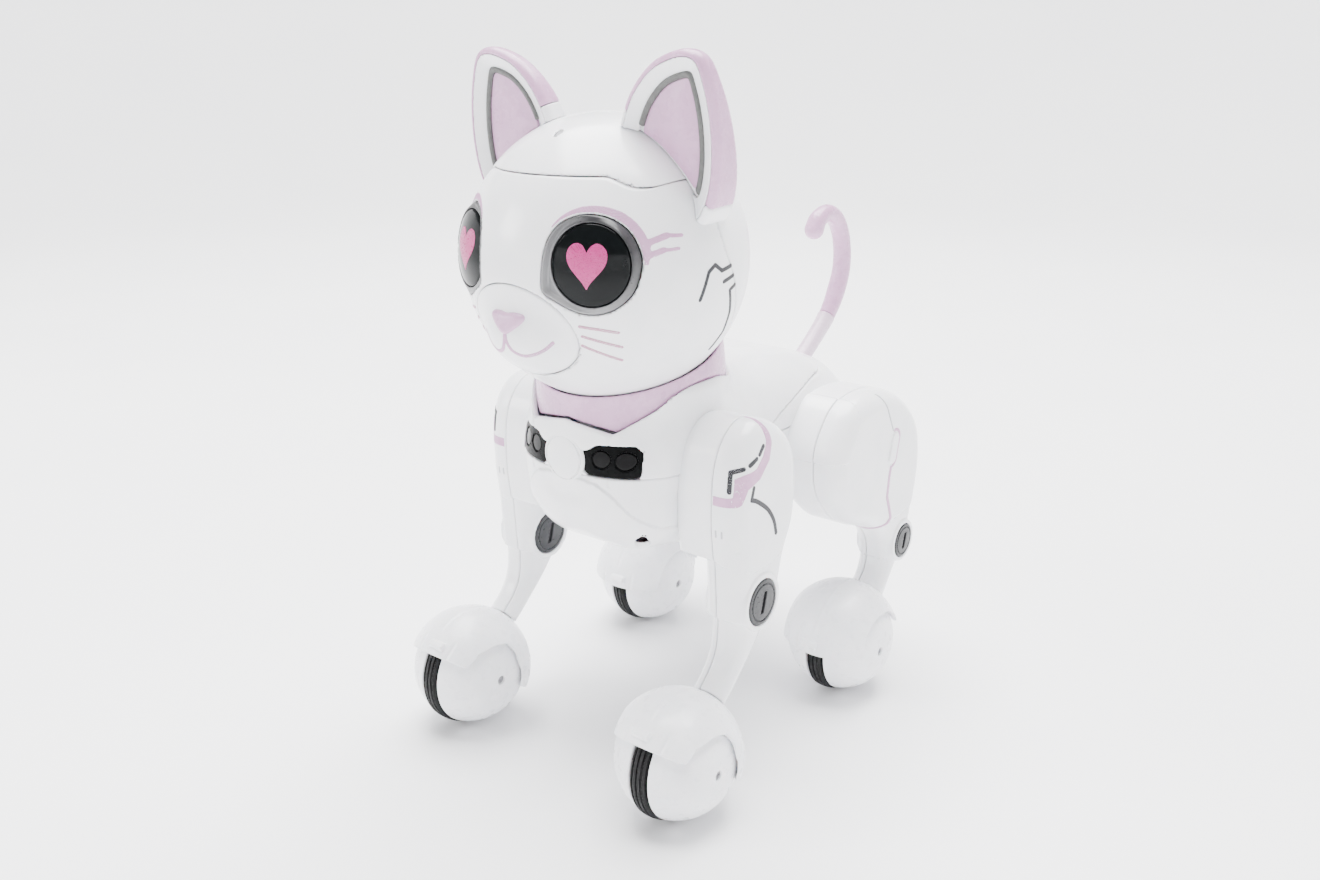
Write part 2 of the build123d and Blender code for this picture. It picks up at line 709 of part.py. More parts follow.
with BuildPart() as neck_spindle:
    with Locations((0, head_y, head_z - head_radius)):
        Cylinder(spindle_flange_radius, 22.0)
    with Locations(head_center):
        Sphere(head_radius - wall, mode=Mode.INTERSECT)
    with Locations((0, head_y, collar_z + end_play)):
        Cylinder(spindle_radius, head_z - head_radius + 8.0 - collar_z - end_play,
                 align=(Align.CENTER, Align.CENTER, Align.MIN))
        Cylinder(journal_radius, journal_length,
                 align=(Align.CENTER, Align.CENTER, Align.MAX))
        Cylinder(cable_bore_radius, head_radius, mode=Mode.SUBTRACT)
save(neck_spindle.part, "neck_spindle")

with BuildPart() as muzzle:
    with BuildSketch(Plane(origin=(0, head_y, muzzle_z), x_dir=(1, 0, 0), z_dir=(0, -1, 0))):
        Ellipse(muzzle_half_width, muzzle_half_height)
    extrude(amount=2 * head_radius)
    with Locations(muzzle_center):
        Sphere(muzzle_radius, mode=Mode.INTERSECT)
    with Locations(head_center):
        Sphere(head_radius, mode=Mode.SUBTRACT)
save(muzzle.part, "muzzle")

with BuildPart() as nose:
    with BuildSketch(Plane(origin=(0, head_y, muzzle_z + 4.0), x_dir=(1, 0, 0),
                           z_dir=(0, -1, 0))):
        with BuildLine():
            Polyline((-nose_width / 2, nose_height / 2), (nose_width / 2, nose_height / 2),
                     (0, -nose_height / 2), close=True)
        make_face()
        fillet(vertices(), nose_height * 0.15)
    extrude(amount=2 * head_radius)
    with Locations(muzzle_center):
        Sphere(muzzle_radius + nose_thickness, mode=Mode.INTERSECT)
        Sphere(muzzle_radius, mode=Mode.SUBTRACT)
save(nose.part, "nose")

def ear_face(side):
    """The outline of an ear seen from the front, measured from the middle of the head."""
    inner = (side * head_radius * 0.26, head_radius * 0.90)
    tip = (side * head_radius * 0.89, head_radius * 1.40)
    outer = (side * head_radius * 1.0, head_radius * 0.28)
    with BuildSketch() as outline:
        with BuildLine():
            ThreePointArc(inner, (side * head_radius * 0.52, head_radius * 1.24), tip)
            ThreePointArc(tip, (side * head_radius * 1.07, head_radius * 0.86), outer)
            Line(outer, inner)
        make_face()
    return outline.sketch


for side, side_name in ((1, "left"), (-1, "right")):
    with BuildPart() as eye_bezel:
        with Locations(head_center):
            Sphere(head_radius)
            Sphere(head_radius - wall - 1.0, mode=Mode.SUBTRACT)
        with BuildSketch(eye_plane(side)):
            Circle(eye_radius + bezel_width)
            Circle(eye_radius + seam_gap, mode=Mode.SUBTRACT)
        extrude(amount=2 * head_radius, mode=Mode.INTERSECT)
    save(eye_bezel.part, f"eye_bezel_{side_name}")

    with BuildPart() as eye_lens:
        with Locations(head_center):
            Sphere(head_radius + 0.6)
            Sphere(head_radius - wall - 1.0, mode=Mode.SUBTRACT)
        with BuildSketch(eye_plane(side)):
            Circle(eye_radius)
        extrude(amount=2 * head_radius, mode=Mode.INTERSECT)
    save(eye_lens.part, f"eye_lens_{side_name}")

    ear_back = Plane(origin=(0, head_y + 6.0, head_z), x_dir=(1, 0, 0), z_dir=(0, -1, 0))
    with BuildPart() as ear:
        with BuildSketch(ear_back):
            add(ear_face(side))
        extrude(amount=ear_depth)
        fillet(ear.edges().filter_by(Axis.Y), 2.0)
        with BuildSketch(ear_back.offset(ear_depth - ear_recess)):
            add(ear_face(side))
            offset(amount=-ear_rim, mode=Mode.REPLACE)
        extrude(amount=ear_recess, mode=Mode.SUBTRACT)
        with Locations(head_center):
            Sphere(head_radius, mode=Mode.SUBTRACT)
    save(ear.part, f"ear_{side_name}")

    with BuildPart() as ear_insert:
        with BuildSketch(ear_back.offset(ear_depth - ear_recess)):
            add(ear_face(side))
            offset(amount=-ear_rim - seam_gap, mode=Mode.REPLACE)
        extrude(amount=ear_panel)
        with Locations(head_center):
            Sphere(head_radius, mode=Mode.SUBTRACT)
    save(ear_insert.part, f"ear_insert_{side_name}")
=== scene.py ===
import functools
import math
import bpy
import numpy as np
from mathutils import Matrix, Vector


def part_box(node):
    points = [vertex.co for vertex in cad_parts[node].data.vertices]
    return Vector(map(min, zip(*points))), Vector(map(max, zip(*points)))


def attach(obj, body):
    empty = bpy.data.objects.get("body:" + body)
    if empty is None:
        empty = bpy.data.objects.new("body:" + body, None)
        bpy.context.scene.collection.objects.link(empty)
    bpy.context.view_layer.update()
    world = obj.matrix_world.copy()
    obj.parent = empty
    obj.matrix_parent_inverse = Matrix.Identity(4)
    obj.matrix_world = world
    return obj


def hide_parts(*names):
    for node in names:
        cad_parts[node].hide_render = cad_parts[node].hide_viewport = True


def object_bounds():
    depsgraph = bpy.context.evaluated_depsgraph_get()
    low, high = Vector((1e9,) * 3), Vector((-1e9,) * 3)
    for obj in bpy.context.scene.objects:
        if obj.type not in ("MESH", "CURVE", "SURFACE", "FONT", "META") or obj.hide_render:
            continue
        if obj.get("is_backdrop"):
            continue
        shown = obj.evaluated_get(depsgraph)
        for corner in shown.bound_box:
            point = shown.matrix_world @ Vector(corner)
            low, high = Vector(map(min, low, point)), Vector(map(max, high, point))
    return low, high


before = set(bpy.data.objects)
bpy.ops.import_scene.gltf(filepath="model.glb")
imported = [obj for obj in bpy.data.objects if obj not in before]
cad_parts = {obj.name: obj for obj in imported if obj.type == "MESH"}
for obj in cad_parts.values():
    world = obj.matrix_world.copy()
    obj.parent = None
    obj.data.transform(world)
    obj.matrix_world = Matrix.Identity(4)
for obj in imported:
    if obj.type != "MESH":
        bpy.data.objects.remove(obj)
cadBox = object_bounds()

# all shapes below are worked out in millimetres and become metres in makeObject
mm = 0.001


def tyreMiddle(name):
    low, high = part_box(name + "_tyre")
    return (np.array(low) + np.array(high)) / 2 / mm


# the shapes are laid out from the point on the floor midway between the wheels
legNames = ["front_left", "front_right", "rear_left", "rear_right"]
workShift = np.mean([tyreMiddle(leg) for leg in legNames], axis=0) * np.array([0, 1, 0])


def nodeBox(name):
    low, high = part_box(name)
    return np.array(low) / mm - workShift, np.array(high) / mm - workShift


def joinBoxes(*names):
    boxes = [nodeBox(name) for name in names]
    return np.min([b[0] for b in boxes], axis=0), np.max([b[1] for b in boxes], axis=0)


# places that the frame gives
headLow, headHigh = joinBoxes("face_shell", "head_back_shell", "crown_cap")
headRadius = (headHigh[0] - headLow[0]) / 2
headCentre = np.array([0.0, (headLow[1] + headHigh[1]) / 2, headHigh[2] - headRadius])
collarLow, collarHigh = nodeBox("collar")
collarRadius = (collarHigh[0] - collarLow[0]) / 2
collarY = (collarLow[1] + collarHigh[1]) / 2
torsoLow, torsoHigh = joinBoxes("back_shell", "belly_shell", "rump_shell")
seamHeight = nodeBox("back_shell")[0][2]
wheels = {name: tyreMiddle(name) - workShift for name in legNames}
wheelRadius = wheels["front_left"][2]


# ------ meshes from distance fields: a field is below zero inside the plastic
def span(v):
    return np.sqrt((v * v).sum(-1))


def ball(p, centre, radius):
    return span(p - centre) - radius


def egg(p, centre, radii):
    q = (p - centre) / radii
    k0 = span(q)
    k1 = span(q / radii)
    return k0 * (k0 - 1.0) / np.maximum(k1, 1e-9)


def rod(p, start, end, radius):
    start, end = np.array(start, float), np.array(end, float)
    way = end - start
    t = np.clip(((p - start) @ way) / (way @ way), 0, 1)
    return span(p - start - t[..., None] * way) - radius


def nearest(fields):
    return functools.reduce(np.minimum, fields)


def chain(p, points, radius):
    return nearest(rod(p, start, end, radius) for start, end in zip(points[:-1], points[1:]))


def rounded(q, w, edge):
    # two faces that meet in an edge of this radius, each given as its own field plus the radius
    return np.hypot(np.maximum(q, 0), np.maximum(w, 0)) + np.minimum(np.maximum(q, w), 0) - edge


def leftSide(p):
    q = p.copy()
    q[..., 0] = np.abs(q[..., 0])
    return q


def blockField(p, centre, half, edge):
    q = np.abs(p - centre) - np.array(half) + edge
    return span(np.maximum(q, 0)) + np.minimum(q.max(-1), 0) - edge


def discField(p, centre, axis, radius, half, edge):
    q = p - centre
    along = np.abs(q[..., axis])
    across = np.sqrt(np.maximum((q * q).sum(-1) - along * along, 0))
    a = np.stack([across - radius + edge, along - half + edge], -1)
    return span(np.maximum(a, 0)) + np.minimum(a.max(-1), 0) - edge


def join(a, b, soft):
    h = np.clip(0.5 + 0.5 * (b - a) / soft, 0, 1)
    return b * (1 - h) + a * h - soft * h * (1 - h)


def both(a, b, soft):
    return -join(-a, -b, soft)


def cut(a, b, soft):
    return -join(-a, b, soft)


def smoothLine(points, steps=10, closed=False):
    # Catmull-Rom curve through the points
    pts = [np.array(q, float) for q in points]
    if closed:
        pts = [pts[-1]] + pts + pts[:2]
    else:
        pts = [2 * pts[0] - pts[1]] + pts + [2 * pts[-1] - pts[-2]]
    line = []
    for a, b, c, d in zip(pts[:-3], pts[1:-2], pts[2:-1], pts[3:]):
        for t in np.arange(steps) / steps:
            line.append(0.5 * (2 * b + (c - a) * t + (2 * a - 5 * b + 4 * c - d) * t ** 2
                               + (3 * b - a - 3 * c + d) * t ** 3))
    if not closed:
        line.append(pts[-2])
    return np.array(line)


def outlineField(points, closed=True, pitch=0.5, blur=3, curved=True):
    # a smooth signed distance to a flat closed outline, read from a grid
    line = smoothLine(points, 10, True) if curved else np.array(points, float)
    low, high = line.min(0) - 14, line.max(0) + 14
    counts = np.ceil((high - low) / pitch).astype(int) + 1
    a, b = np.meshgrid(*[low[i] + pitch * np.arange(counts[i]) for i in (0, 1)], indexing="ij")
    best = np.full(a.shape, 1e9)
    inside = np.zeros(a.shape, bool)
    for start, end in zip(line, np.roll(line, -1, 0)):
        way = end - start
        t = np.clip(((a - start[0]) * way[0] + (b - start[1]) * way[1]) / (way @ way), 0, 1)
        best = np.minimum(best, (a - start[0] - t * way[0]) ** 2 + (b - start[1] - t * way[1]) ** 2)
        if start[1] != end[1]:
            crossing = (start[1] > b) != (end[1] > b)
            inside ^= crossing & (a < way[0] * (b - start[1]) / way[1] + start[0])
    grid = np.sqrt(best) * np.where(inside, -1, 1)
    for _ in range(blur):
        grid[1:-1] = (grid[:-2] + 2 * grid[1:-1] + grid[2:]) / 4
        grid[:, 1:-1] = (grid[:, :-2] + 2 * grid[:, 1:-1] + grid[:, 2:]) / 4

    def read(u, v):
        x = (u - low[0]) / pitch
        y = (v - low[1]) / pitch
        outside = np.maximum(np.maximum(-x, x - counts[0] + 1), np.maximum(-y, y - counts[1] + 1))
        x = np.clip(x, 0, counts[0] - 1.001)
        y = np.clip(y, 0, counts[1] - 1.001)
        i, j = x.astype(int), y.astype(int)
        s, t = x - i, y - j
        value = (grid[i, j] * (1 - s) * (1 - t) + grid[i + 1, j] * s * (1 - t)
                 + grid[i, j + 1] * (1 - s) * t + grid[i + 1, j + 1] * s * t)
        return value + np.maximum(outside, 0) * pitch
    return read


def fieldMesh(field, low, high, cell):
    # surface nets over the blocks that the skin passes through, then pulled onto the skin
    low = np.array(low, float) - 1.5 * cell
    high = np.array(high, float) + 1.5 * cell
    size = 8
    blocks = np.ceil((high - low) / (cell * size)).astype(int)
    n = blocks * size
    grids = np.meshgrid(*[np.arange(k) for k in blocks], indexing="ij")
    origins = np.stack(grids, -1).reshape(-1, 3) * size
    middles = low + cell * (origins + (size - 1) / 2)
    reach = cell * size * 0.87 * 1.25 + cell
    rough = field(middles)
    values = np.repeat(np.repeat(np.repeat(rough.reshape(blocks), size, 0), size, 1), size, 2)
    near = origins[np.abs(rough) < reach]
    step = np.stack(np.meshgrid(*[np.arange(size)] * 3, indexing="ij"), -1).reshape(-1, 3)
    for first in range(0, len(near), 1500):
        spots = (near[first:first + 1500, None, :] + step).reshape(-1, 3)
        values[spots[:, 0], spots[:, 1], spots[:, 2]] = field(low + cell * spots)
    inside = values < 0
    corners = [(i, j, k) for i in (0, 1) for j in (0, 1) for k in (0, 1)]
    count = np.zeros(n - 1, np.int8)
    for i, j, k in corners:
        count += inside[i:n[0] - 1 + i, j:n[1] - 1 + j, k:n[2] - 1 + k]
    cells = np.argwhere((count > 0) & (count < 8))
    total = np.zeros((len(cells), 3))
    hits = np.zeros(len(cells))
    for a in corners:
        for axis in range(3):
            if a[axis]:
                continue
            b = list(a)
            b[axis] = 1
            va = values[tuple((cells + a).T)]
            vb = values[tuple((cells + b).T)]
            crossed = (va < 0) != (vb < 0)
            t = np.where(crossed, va / np.where(crossed, va - vb, 1), 0)
            spot = np.tile(np.array(a, float), (len(cells), 1))
            spot[:, axis] = t
            total += spot * crossed[:, None]
            hits += crossed
    points = low + cell * (cells + total / hits[:, None])
    number = np.full(n - 1, -1, np.int64)
    number[tuple(cells.T)] = np.arange(len(cells))
    quads = []
    for axis in range(3):
        u, v = (axis + 1) % 3, (axis + 2) % 3
        lower = [slice(None)] * 3
        upper = [slice(None)] * 3
        lower[axis], upper[axis] = slice(0, -1), slice(1, None)
        here, there = inside[tuple(lower)], inside[tuple(upper)]
        edges = np.argwhere(here != there)
        keep = (edges[:, u] > 0) & (edges[:, v] > 0) & (edges[:, u] < n[u] - 1) & (edges[:, v] < n[v] - 1)
        edges = edges[keep]
        outward = here[tuple(edges.T)]
        ring = []
        for du, dv in ((0, 0), (-1, 0), (-1, -1), (0, -1)):
            at = edges.copy()
            at[:, u] += du
            at[:, v] += dv
            ring.append(number[tuple(at.T)])
        ring = np.stack(ring, 1)
        ring[~outward] = ring[~outward][:, ::-1]
        quads.append(ring)
    quads = np.concatenate(quads)
    small = cell * 0.1
    for _ in range(3):
        value = field(points)
        slope = np.stack([(field(points + small * e) - field(points - small * e)) / (2 * small)
                          for e in np.eye(3)], -1)
        move = value[:, None] * slope / np.maximum((slope * slope).sum(-1), 0.25)[:, None]
        far = np.maximum(span(move) / (cell * 0.6), 1)
        points = points - move / far[:, None]
    return points, quads, slope / np.maximum(span(slope), 1e-6)[:, None]


def makeObject(name, points, faces, material, normals=None):
    mesh = bpy.data.meshes.new(name)
    points = (np.asarray(points, float) + workShift) * mm
    if isinstance(faces, np.ndarray):
        sides = faces.shape[1]
        mesh.vertices.add(len(points))
        mesh.vertices.foreach_set("co", points.ravel())
        mesh.loops.add(faces.size)
        mesh.loops.foreach_set("vertex_index", faces.ravel())
        mesh.polygons.add(len(faces))
        mesh.polygons.foreach_set("loop_start", np.arange(0, faces.size, sides))
        mesh.update(calc_edges=True)
        mesh.validate()
    else:
        mesh.from_pydata([tuple(p) for p in points], [], faces)
    mesh.polygons.foreach_set("use_smooth", np.ones(len(mesh.polygons), bool))
    if normals is not None:
        mesh.normals_split_custom_set_from_vertices(normals)
    mesh.materials.append(material)
    piece = bpy.data.objects.new(name, mesh)
    bpy.context.scene.collection.objects.link(piece)
    return piece


def shape(name, field, low, high, cell, material, body, slot, *nodes):
    points, faces, normals = fieldMesh(field, low, high, cell)
    piece = makeObject(name, points, faces, material, normals)
    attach(piece, body)
    if nodes:
        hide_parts(*nodes)
    return piece


def printed(name, skin, path, width, material, body, slot, cell=0.3, proud=0.1):
    # a pad-printed line: a thin film that follows the skin along the path
    path = np.array(path, float)
    reach = width / 2 + 1.5

    def inkField(p):
        return both(np.abs(skin(p) + 0.15 - proud) - 0.2, chain(p, path, width / 2), 0.1)
    return shape(name, inkField, path.min(0) - reach, path.max(0) + reach, cell, material, body, slot)


def onSkin(skin, points):
    # moves points along the field's slope until they lie on the skin
    points = np.array(points, float)
    for _ in range(8):
        value = skin(points)
        slope = np.stack([(skin(points + 0.05 * e) - skin(points - 0.05 * e)) / 0.1
                          for e in np.eye(3)], -1)
        points = points - value[:, None] * slope / np.maximum((slope * slope).sum(-1), 0.1)[:, None]
    return points


# ------ materials
def toLinear(hexColour):
    parts = [int(hexColour[i:i + 2], 16) / 255 for i in (1, 3, 5)]
    return tuple(c / 12.92 if c <= 0.04045 else ((c + 0.055) / 1.055) ** 2.4 for c in parts) + (1,)


def addNode(tree, kind, settings=None, links=None):
    node = tree.nodes.new(kind)
    for key, value in (settings or {}).items():
        if isinstance(key, int) or key in node.inputs:
            node.inputs[key].default_value = value
        else:
            setattr(node, key, value)
    for key, source in (links or {}).items():
        tree.links.new(source, node.inputs[key])
    return node


def glossPlastic(name, colour, shade, rough=0.22, cloud=14.0, peel=0.9, lift=0.012, coat=0.0,
                 translucent=0.0, shine=0.5):
    # moulded plastic: faint flow clouds in the tone, uneven polish and a fine orange peel
    material = bpy.data.materials.new(name)
    material.use_nodes = True
    tree = material.node_tree
    tree.nodes.clear()
    place = addNode(tree, "ShaderNodeTexCoord")
    flow = addNode(tree, "ShaderNodeTexNoise", {"Scale": 1 / (cloud * mm), "Detail": 4.0,
                                                "Roughness": 0.55},
                   {"Vector": place.outputs["Object"]})
    tone = addNode(tree, "ShaderNodeValToRGB", {}, {"Fac": flow.outputs["Fac"]})
    tone.color_ramp.elements[0].position = 0.30
    tone.color_ramp.elements[0].color = toLinear(shade)
    tone.color_ramp.elements[1].position = 0.62
    tone.color_ramp.elements[1].color = toLinear(colour)
    wear = addNode(tree, "ShaderNodeTexNoise", {"Scale": 1 / (cloud * 0.35 * mm), "Detail": 5.0},
                   {"Vector": place.outputs["Object"]})
    polish = addNode(tree, "ShaderNodeMapRange",
                     {"From Min": 0.3, "From Max": 0.7, "To Min": rough * 0.75,
                      "To Max": rough * 1.3}, {"Value": wear.outputs["Fac"]})
    skin = addNode(tree, "ShaderNodeTexNoise", {"Scale": 1 / (peel * mm), "Detail": 2.0},
                   {"Vector": place.outputs["Object"]})
    bump = addNode(tree, "ShaderNodeBump", {"Strength": 0.35, "Distance": lift * mm},
                   {"Height": skin.outputs["Fac"]})
    shader = addNode(tree, "ShaderNodeBsdfPrincipled",
                     {"IOR": 1.53, "Specular IOR Level": shine, "Coat Weight": coat,
                      "Coat Roughness": 0.06,
                      "Subsurface Weight": translucent, "Subsurface Scale": 1.2 * mm},
                     {"Base Color": tone.outputs["Color"], "Roughness": polish.outputs["Result"],
                      "Normal": bump.outputs["Normal"]})
    addNode(tree, "ShaderNodeOutputMaterial", {}, {"Surface": shader.outputs["BSDF"]})
    return material


def paintedShadePlastic(name, light, dark, direction, middle, width, rough):
    # a moulding with painted shade: its colour fades from light to dark along a direction, standing in for
    # shading
    material = glossPlastic(name, light, light, rough, 6.0, 0.6)
    tree = material.node_tree
    shader = next(n for n in tree.nodes if n.type == "BSDF_PRINCIPLED")
    place = next(n for n in tree.nodes if n.type == "TEX_COORD")
    along = addNode(tree, "ShaderNodeVectorMath", {"operation": "DOT_PRODUCT"},
                    {0: place.outputs["Object"]})
    along.inputs[1].default_value = direction
    speck = addNode(tree, "ShaderNodeTexNoise", {"Scale": 1 / (0.5 * mm), "Detail": 3.0},
                    {"Vector": place.outputs["Object"]})
    noise = addNode(tree, "ShaderNodeMath", {"operation": "MULTIPLY_ADD", 1: 1.2 * mm},
                    {0: speck.outputs["Fac"], 2: along.outputs["Value"]})
    fade = addNode(tree, "ShaderNodeMapRange",
                   {"From Min": (middle - width / 2) * mm, "From Max": (middle + width / 2) * mm},
                   {"Value": noise.outputs["Value"]})
    tone = addNode(tree, "ShaderNodeValToRGB", {}, {"Fac": fade.outputs["Result"]})
    tone.color_ramp.elements[0].color = toLinear(light)
    tone.color_ramp.elements[1].color = toLinear(dark)
    tree.links.new(tone.outputs["Color"], shader.inputs["Base Color"])
    return material


# injection-moulded ABS, high polish tool
whiteAbs = glossPlastic("white_abs_gloss_moulded", "#F7F7F9", "#F0F1F4", 0.2, 18.0, 1.1, 0.010,
                        0.0, 0.06)
# the same resin from a fine-blasted tool, for the feet, the battery door and the neck deck
satinAbs = glossPlastic("white_abs_satin_moulded", "#F5F5F8", "#ECEDF1", 0.3, 12.0, 0.7, 0.014,
                        0.0, 0.06)
# tinted ABS, moulded through
lavenderAbs = glossPlastic("lavender_abs_moulded", "#CBA0C2", "#C195B8", 0.27, 12.0, 0.9, 0.012,
                           0.0, 0.05)
paleAbs = glossPlastic("pale_lavender_abs_moulded", "#DCC6D8", "#D2BACE", 0.27, 9.0, 0.9, 0.012)
# pad-printed inks
lavenderInk = glossPlastic("lavender_pad_print_ink", "#C797BC", "#BD8CB2", 0.38, 3.0, 0.35, 0.02)
pinkInk = glossPlastic("rose_pad_print_ink", "#C08CA3", "#B58097", 0.4, 2.0, 0.35, 0.02)
greyInk = glossPlastic("dark_grey_pad_print_ink", "#3A3A3D", "#303033", 0.45, 2.5, 0.3, 0.02,
                       shine=0.2)
softGreyInk = glossPlastic("soft_grey_pad_print_ink", "#B9B9BE", "#ADADB3", 0.4, 2.5, 0.3, 0.02)
heartInk = glossPlastic("pink_screen_print_heart", "#B9307C", "#AC2870", 0.3, 2.5, 0.4, 0.015)
# smoked polycarbonate
lensPc = glossPlastic("black_polycarbonate_lens", "#0B0E0F", "#07090A", 0.1, 5.0, 1.5, 0.004,
                      shine=0.14)
windowPc = glossPlastic("smoked_polycarbonate_window", "#08090A", "#050606", 0.3, 4.0, 1.2,
                        0.004, shine=0.05)
sensorGlass = glossPlastic("infrared_sensor_filter_glass", "#040405", "#020203", 0.2, 2.0, 0.8,
                           0.003, shine=0.12)
earGrey = glossPlastic("grey_tpe_ear_bead", "#5B5C5A", "#4D4E4C", 0.5, 3.0, 0.4, 0.02)
capAbs = glossPlastic("charcoal_abs_pivot_cap", "#2E2F31", "#222325", 0.34, 4.0, 0.5, 0.02,
                      shine=0.3)
tyreRubber = glossPlastic("black_tpr_tyre_moulded", "#101011", "#0B0B0C", 0.6, 2.5, 0.25, 0.05,
                          shine=0.25)
plugAbs = glossPlastic("grey_abs_axle_plug", "#9C9CA0", "#8C8C90", 0.35, 2.0, 0.4, 0.015)
knobAbs = glossPlastic("black_abs_switch_knob", "#232324", "#1A1A1B", 0.45, 2.0, 0.3, 0.03)
hubAcetal = glossPlastic("natural_acetal_wheel_hub", "#DEDDD8", "#D2D1CB", 0.35, 5.0, 0.6, 0.02)
batteryWrap = glossPlastic("blue_heat_shrink_battery_wrap", "#3E5F8C", "#34527C", 0.35, 6.0, 1.2,
                           0.03)
boardLaminate = glossPlastic("green_solder_mask_laminate", "#2C6B45", "#235A39", 0.4, 3.0, 0.5,
                             0.02)
paperCone = glossPlastic("black_pressed_paper_cone", "#2E2D2C", "#232221", 0.8, 1.5, 0.3, 0.05)
motorSteel = glossPlastic("zinc_plated_motor_case", "#B4B6B9", "#9FA2A6", 0.3, 3.0, 0.4, 0.015)
screwSteel = glossPlastic("nickel_plated_screw_steel", "#A9AAAC", "#8F9093", 0.28, 1.5, 0.3, 0.015)
for metal in (motorSteel, screwSteel):
    shader = next(n for n in metal.node_tree.nodes if n.type == "BSDF_PRINCIPLED")
    shader.inputs["Metallic"].default_value = 1.0
print("materials made")


# ------ torso
torso = {
    "wall": 2.4, "gap": 0.34, "corner": 24.0, "edge": 0.7, "cell": 0.95,
    # where the belly meets the rump, and the screw holes below as (sideways, from the chest back)
    "bellyEnd": 58, "screwSpots": [(27, 16), (27, 0), (20, 170)], "screwHole": 3.1,
    # from the chest back: distance, half width, belly below and back above the middle
    "stations": [(0, 17, 13, 24), (5, 29, 22, 29), (17, 39, 30, 33), (42, 42, 34, 36),
                 (77, 42, 35, 37), (107, 42, 37, 37), (137, 42, 38, 33), (162, 37, 34, 24),
                 (181, 28, 25, 13), (192, 15, 14, 2)],
    "bib": [(0, 134), (16, 131.5), (23, 125.5), (29, 117), (36, 111.5), (46, 108.5)],
    "rump": [(14, 100), (20, 130), (26, 139.5), (36, 144), (49, 148), (65, 151.5), (84, 153),
             (200, 154)],
}
torsoMid = seamHeight - 6.7
chestY = torsoLow[1]
rearY = torsoHigh[1]


def smoothTable(rows, low, high, blur):
    rows = np.array(rows, float)
    at = np.arange(low, high, 0.5)
    count = max(int(blur / 0.5) | 1, 3)
    weights = np.bartlett(count + 2)[1:-1]
    weights /= weights.sum()
    columns = []
    for column in rows.T[1:]:
        padded = np.pad(np.interp(at, rows[:, 0], column), count // 2, mode="edge")
        columns.append(np.convolve(padded, weights, "valid"))
    return at, columns


stationAt, stationCols = smoothTable(torso["stations"], -10, 204, 11)
stationSlope = np.max([np.abs(np.gradient(c, 0.5)) for c in stationCols], axis=0)
rumpAt, rumpCols = smoothTable(torso["rump"], 0, 200, 9)
bibAt, bibCols = smoothTable(torso["bib"], 0, 60, 5)
windowOutline = outlineField([(-9, 138), (9, 138), (12, 135.1), (31.6, 135.1), (31.9, 135.4),
                              (31.9, 145.2), (29.3, 147.9), (15.5, 147.9), (12.2, 145.2),
                              (9, 144.8), (-9, 144.8), (-12.2, 145.2), (-15.5, 147.9),
                              (-29.3, 147.9), (-31.9, 145.2), (-31.9, 135.4), (-31.6, 135.1),
                              (-12, 135.1)], pitch=0.4, blur=12, curved=False)


def smoothStep(value):
    value = np.clip(value, 0, 1)
    return value * value * (3 - 2 * value)


def torsoSkin(p):
    back = p[..., 1] - chestY
    half, below, above = (np.interp(back, stationAt, c) for c in stationCols)
    slope = np.interp(back, stationAt, stationSlope)
    middle = torsoMid + (above - below) / 2
    tall = (above + below) / 2
    corner = np.minimum(torso["corner"], 0.9 * np.minimum(half, tall))
    qx = np.abs(p[..., 0]) - half + corner
    qz = np.abs(p[..., 2] - middle) - tall + corner
    d = rounded(qx, qz, corner) / np.sqrt(1 + slope * slope)
    d = both(d, chestY - p[..., 1], 5.0)
    d = both(d, p[..., 1] - rearY, 5.0)
    neck = discField(p, np.array([0, collarY, 150.0]), 2, collarRadius + 2.0, 21.5, 5.0)
    return join(d, neck, 7.0)


def torsoFace(p):
    # the skin with its bib step and the lines by the window
    d = torsoSkin(p)
    x = np.abs(p[..., 0])
    edge = np.interp(x, bibAt, bibCols[0])
    front = smoothStep((-26 - p[..., 1]) / 6)
    d = d + front * 0.9 * smoothStep((p[..., 2] - edge) / 1.3 + 0.5) * (p[..., 2] < seamHeight)
    line = np.maximum(np.abs(x - 20.5), np.abs(p[..., 2] - 142) - 10.5)
    return d + 0.4 * np.exp(-(np.maximum(line, 0) / 0.7) ** 2) * front


def shellOf(skin, wall):
    return lambda p: (lambda d: np.maximum(d, -d - wall))(skin(p))


def rumpLine(p):
    return p[..., 2] - np.maximum(np.interp(p[..., 1], rumpAt, rumpCols[0]), seamHeight)


def collarEdge(x):
    return np.interp(np.abs(x), [0, 8, 15, 20.6, 22.5, 28, 33.4, 38.9, 41],
                     [156.8, 155.6, 154.3, 152.8, 153.8, 158, 162.5, 170.2, 172.5])


def collarHem(p):
    rear = smoothStep((p[..., 1] + 12) / 20)
    return collarEdge(p[..., 0]) * (1 - rear) + 169 * rear


def collarCut(p, grow):
    across = np.hypot(p[..., 0], p[..., 1] - collarY) - collarRadius - 0.6 - grow
    low = collarHem(p)
    return both(across, low - grow - p[..., 2], 0.6)


torsoWall = shellOf(torsoFace, torso["wall"])


def windowCut(p, grow):
    return np.maximum(windowOutline(p[..., 0], p[..., 2]) - grow, p[..., 1] + 30)


def backField(p):
    d = both(torsoWall(p), torso["gap"] / 2 + 0.25 * (p[..., 1] > 12) - rumpLine(p),
             torso["edge"])
    d = cut(d, collarCut(p, 0.3), 0.6)
    above = np.maximum(collarHem(p) - 0.3 - p[..., 2],
                       np.hypot(p[..., 0], p[..., 1] - collarY) - collarRadius - 9)
    d = cut(d, above, 1.4)
    return cut(d, windowCut(p, 0.25), 0.5)


def underHoles(p):
    return nearest(np.hypot(np.abs(p[..., 0]) - x, p[..., 1] - chestY - y) - torso["screwHole"]
                   for x, y in torso["screwSpots"])


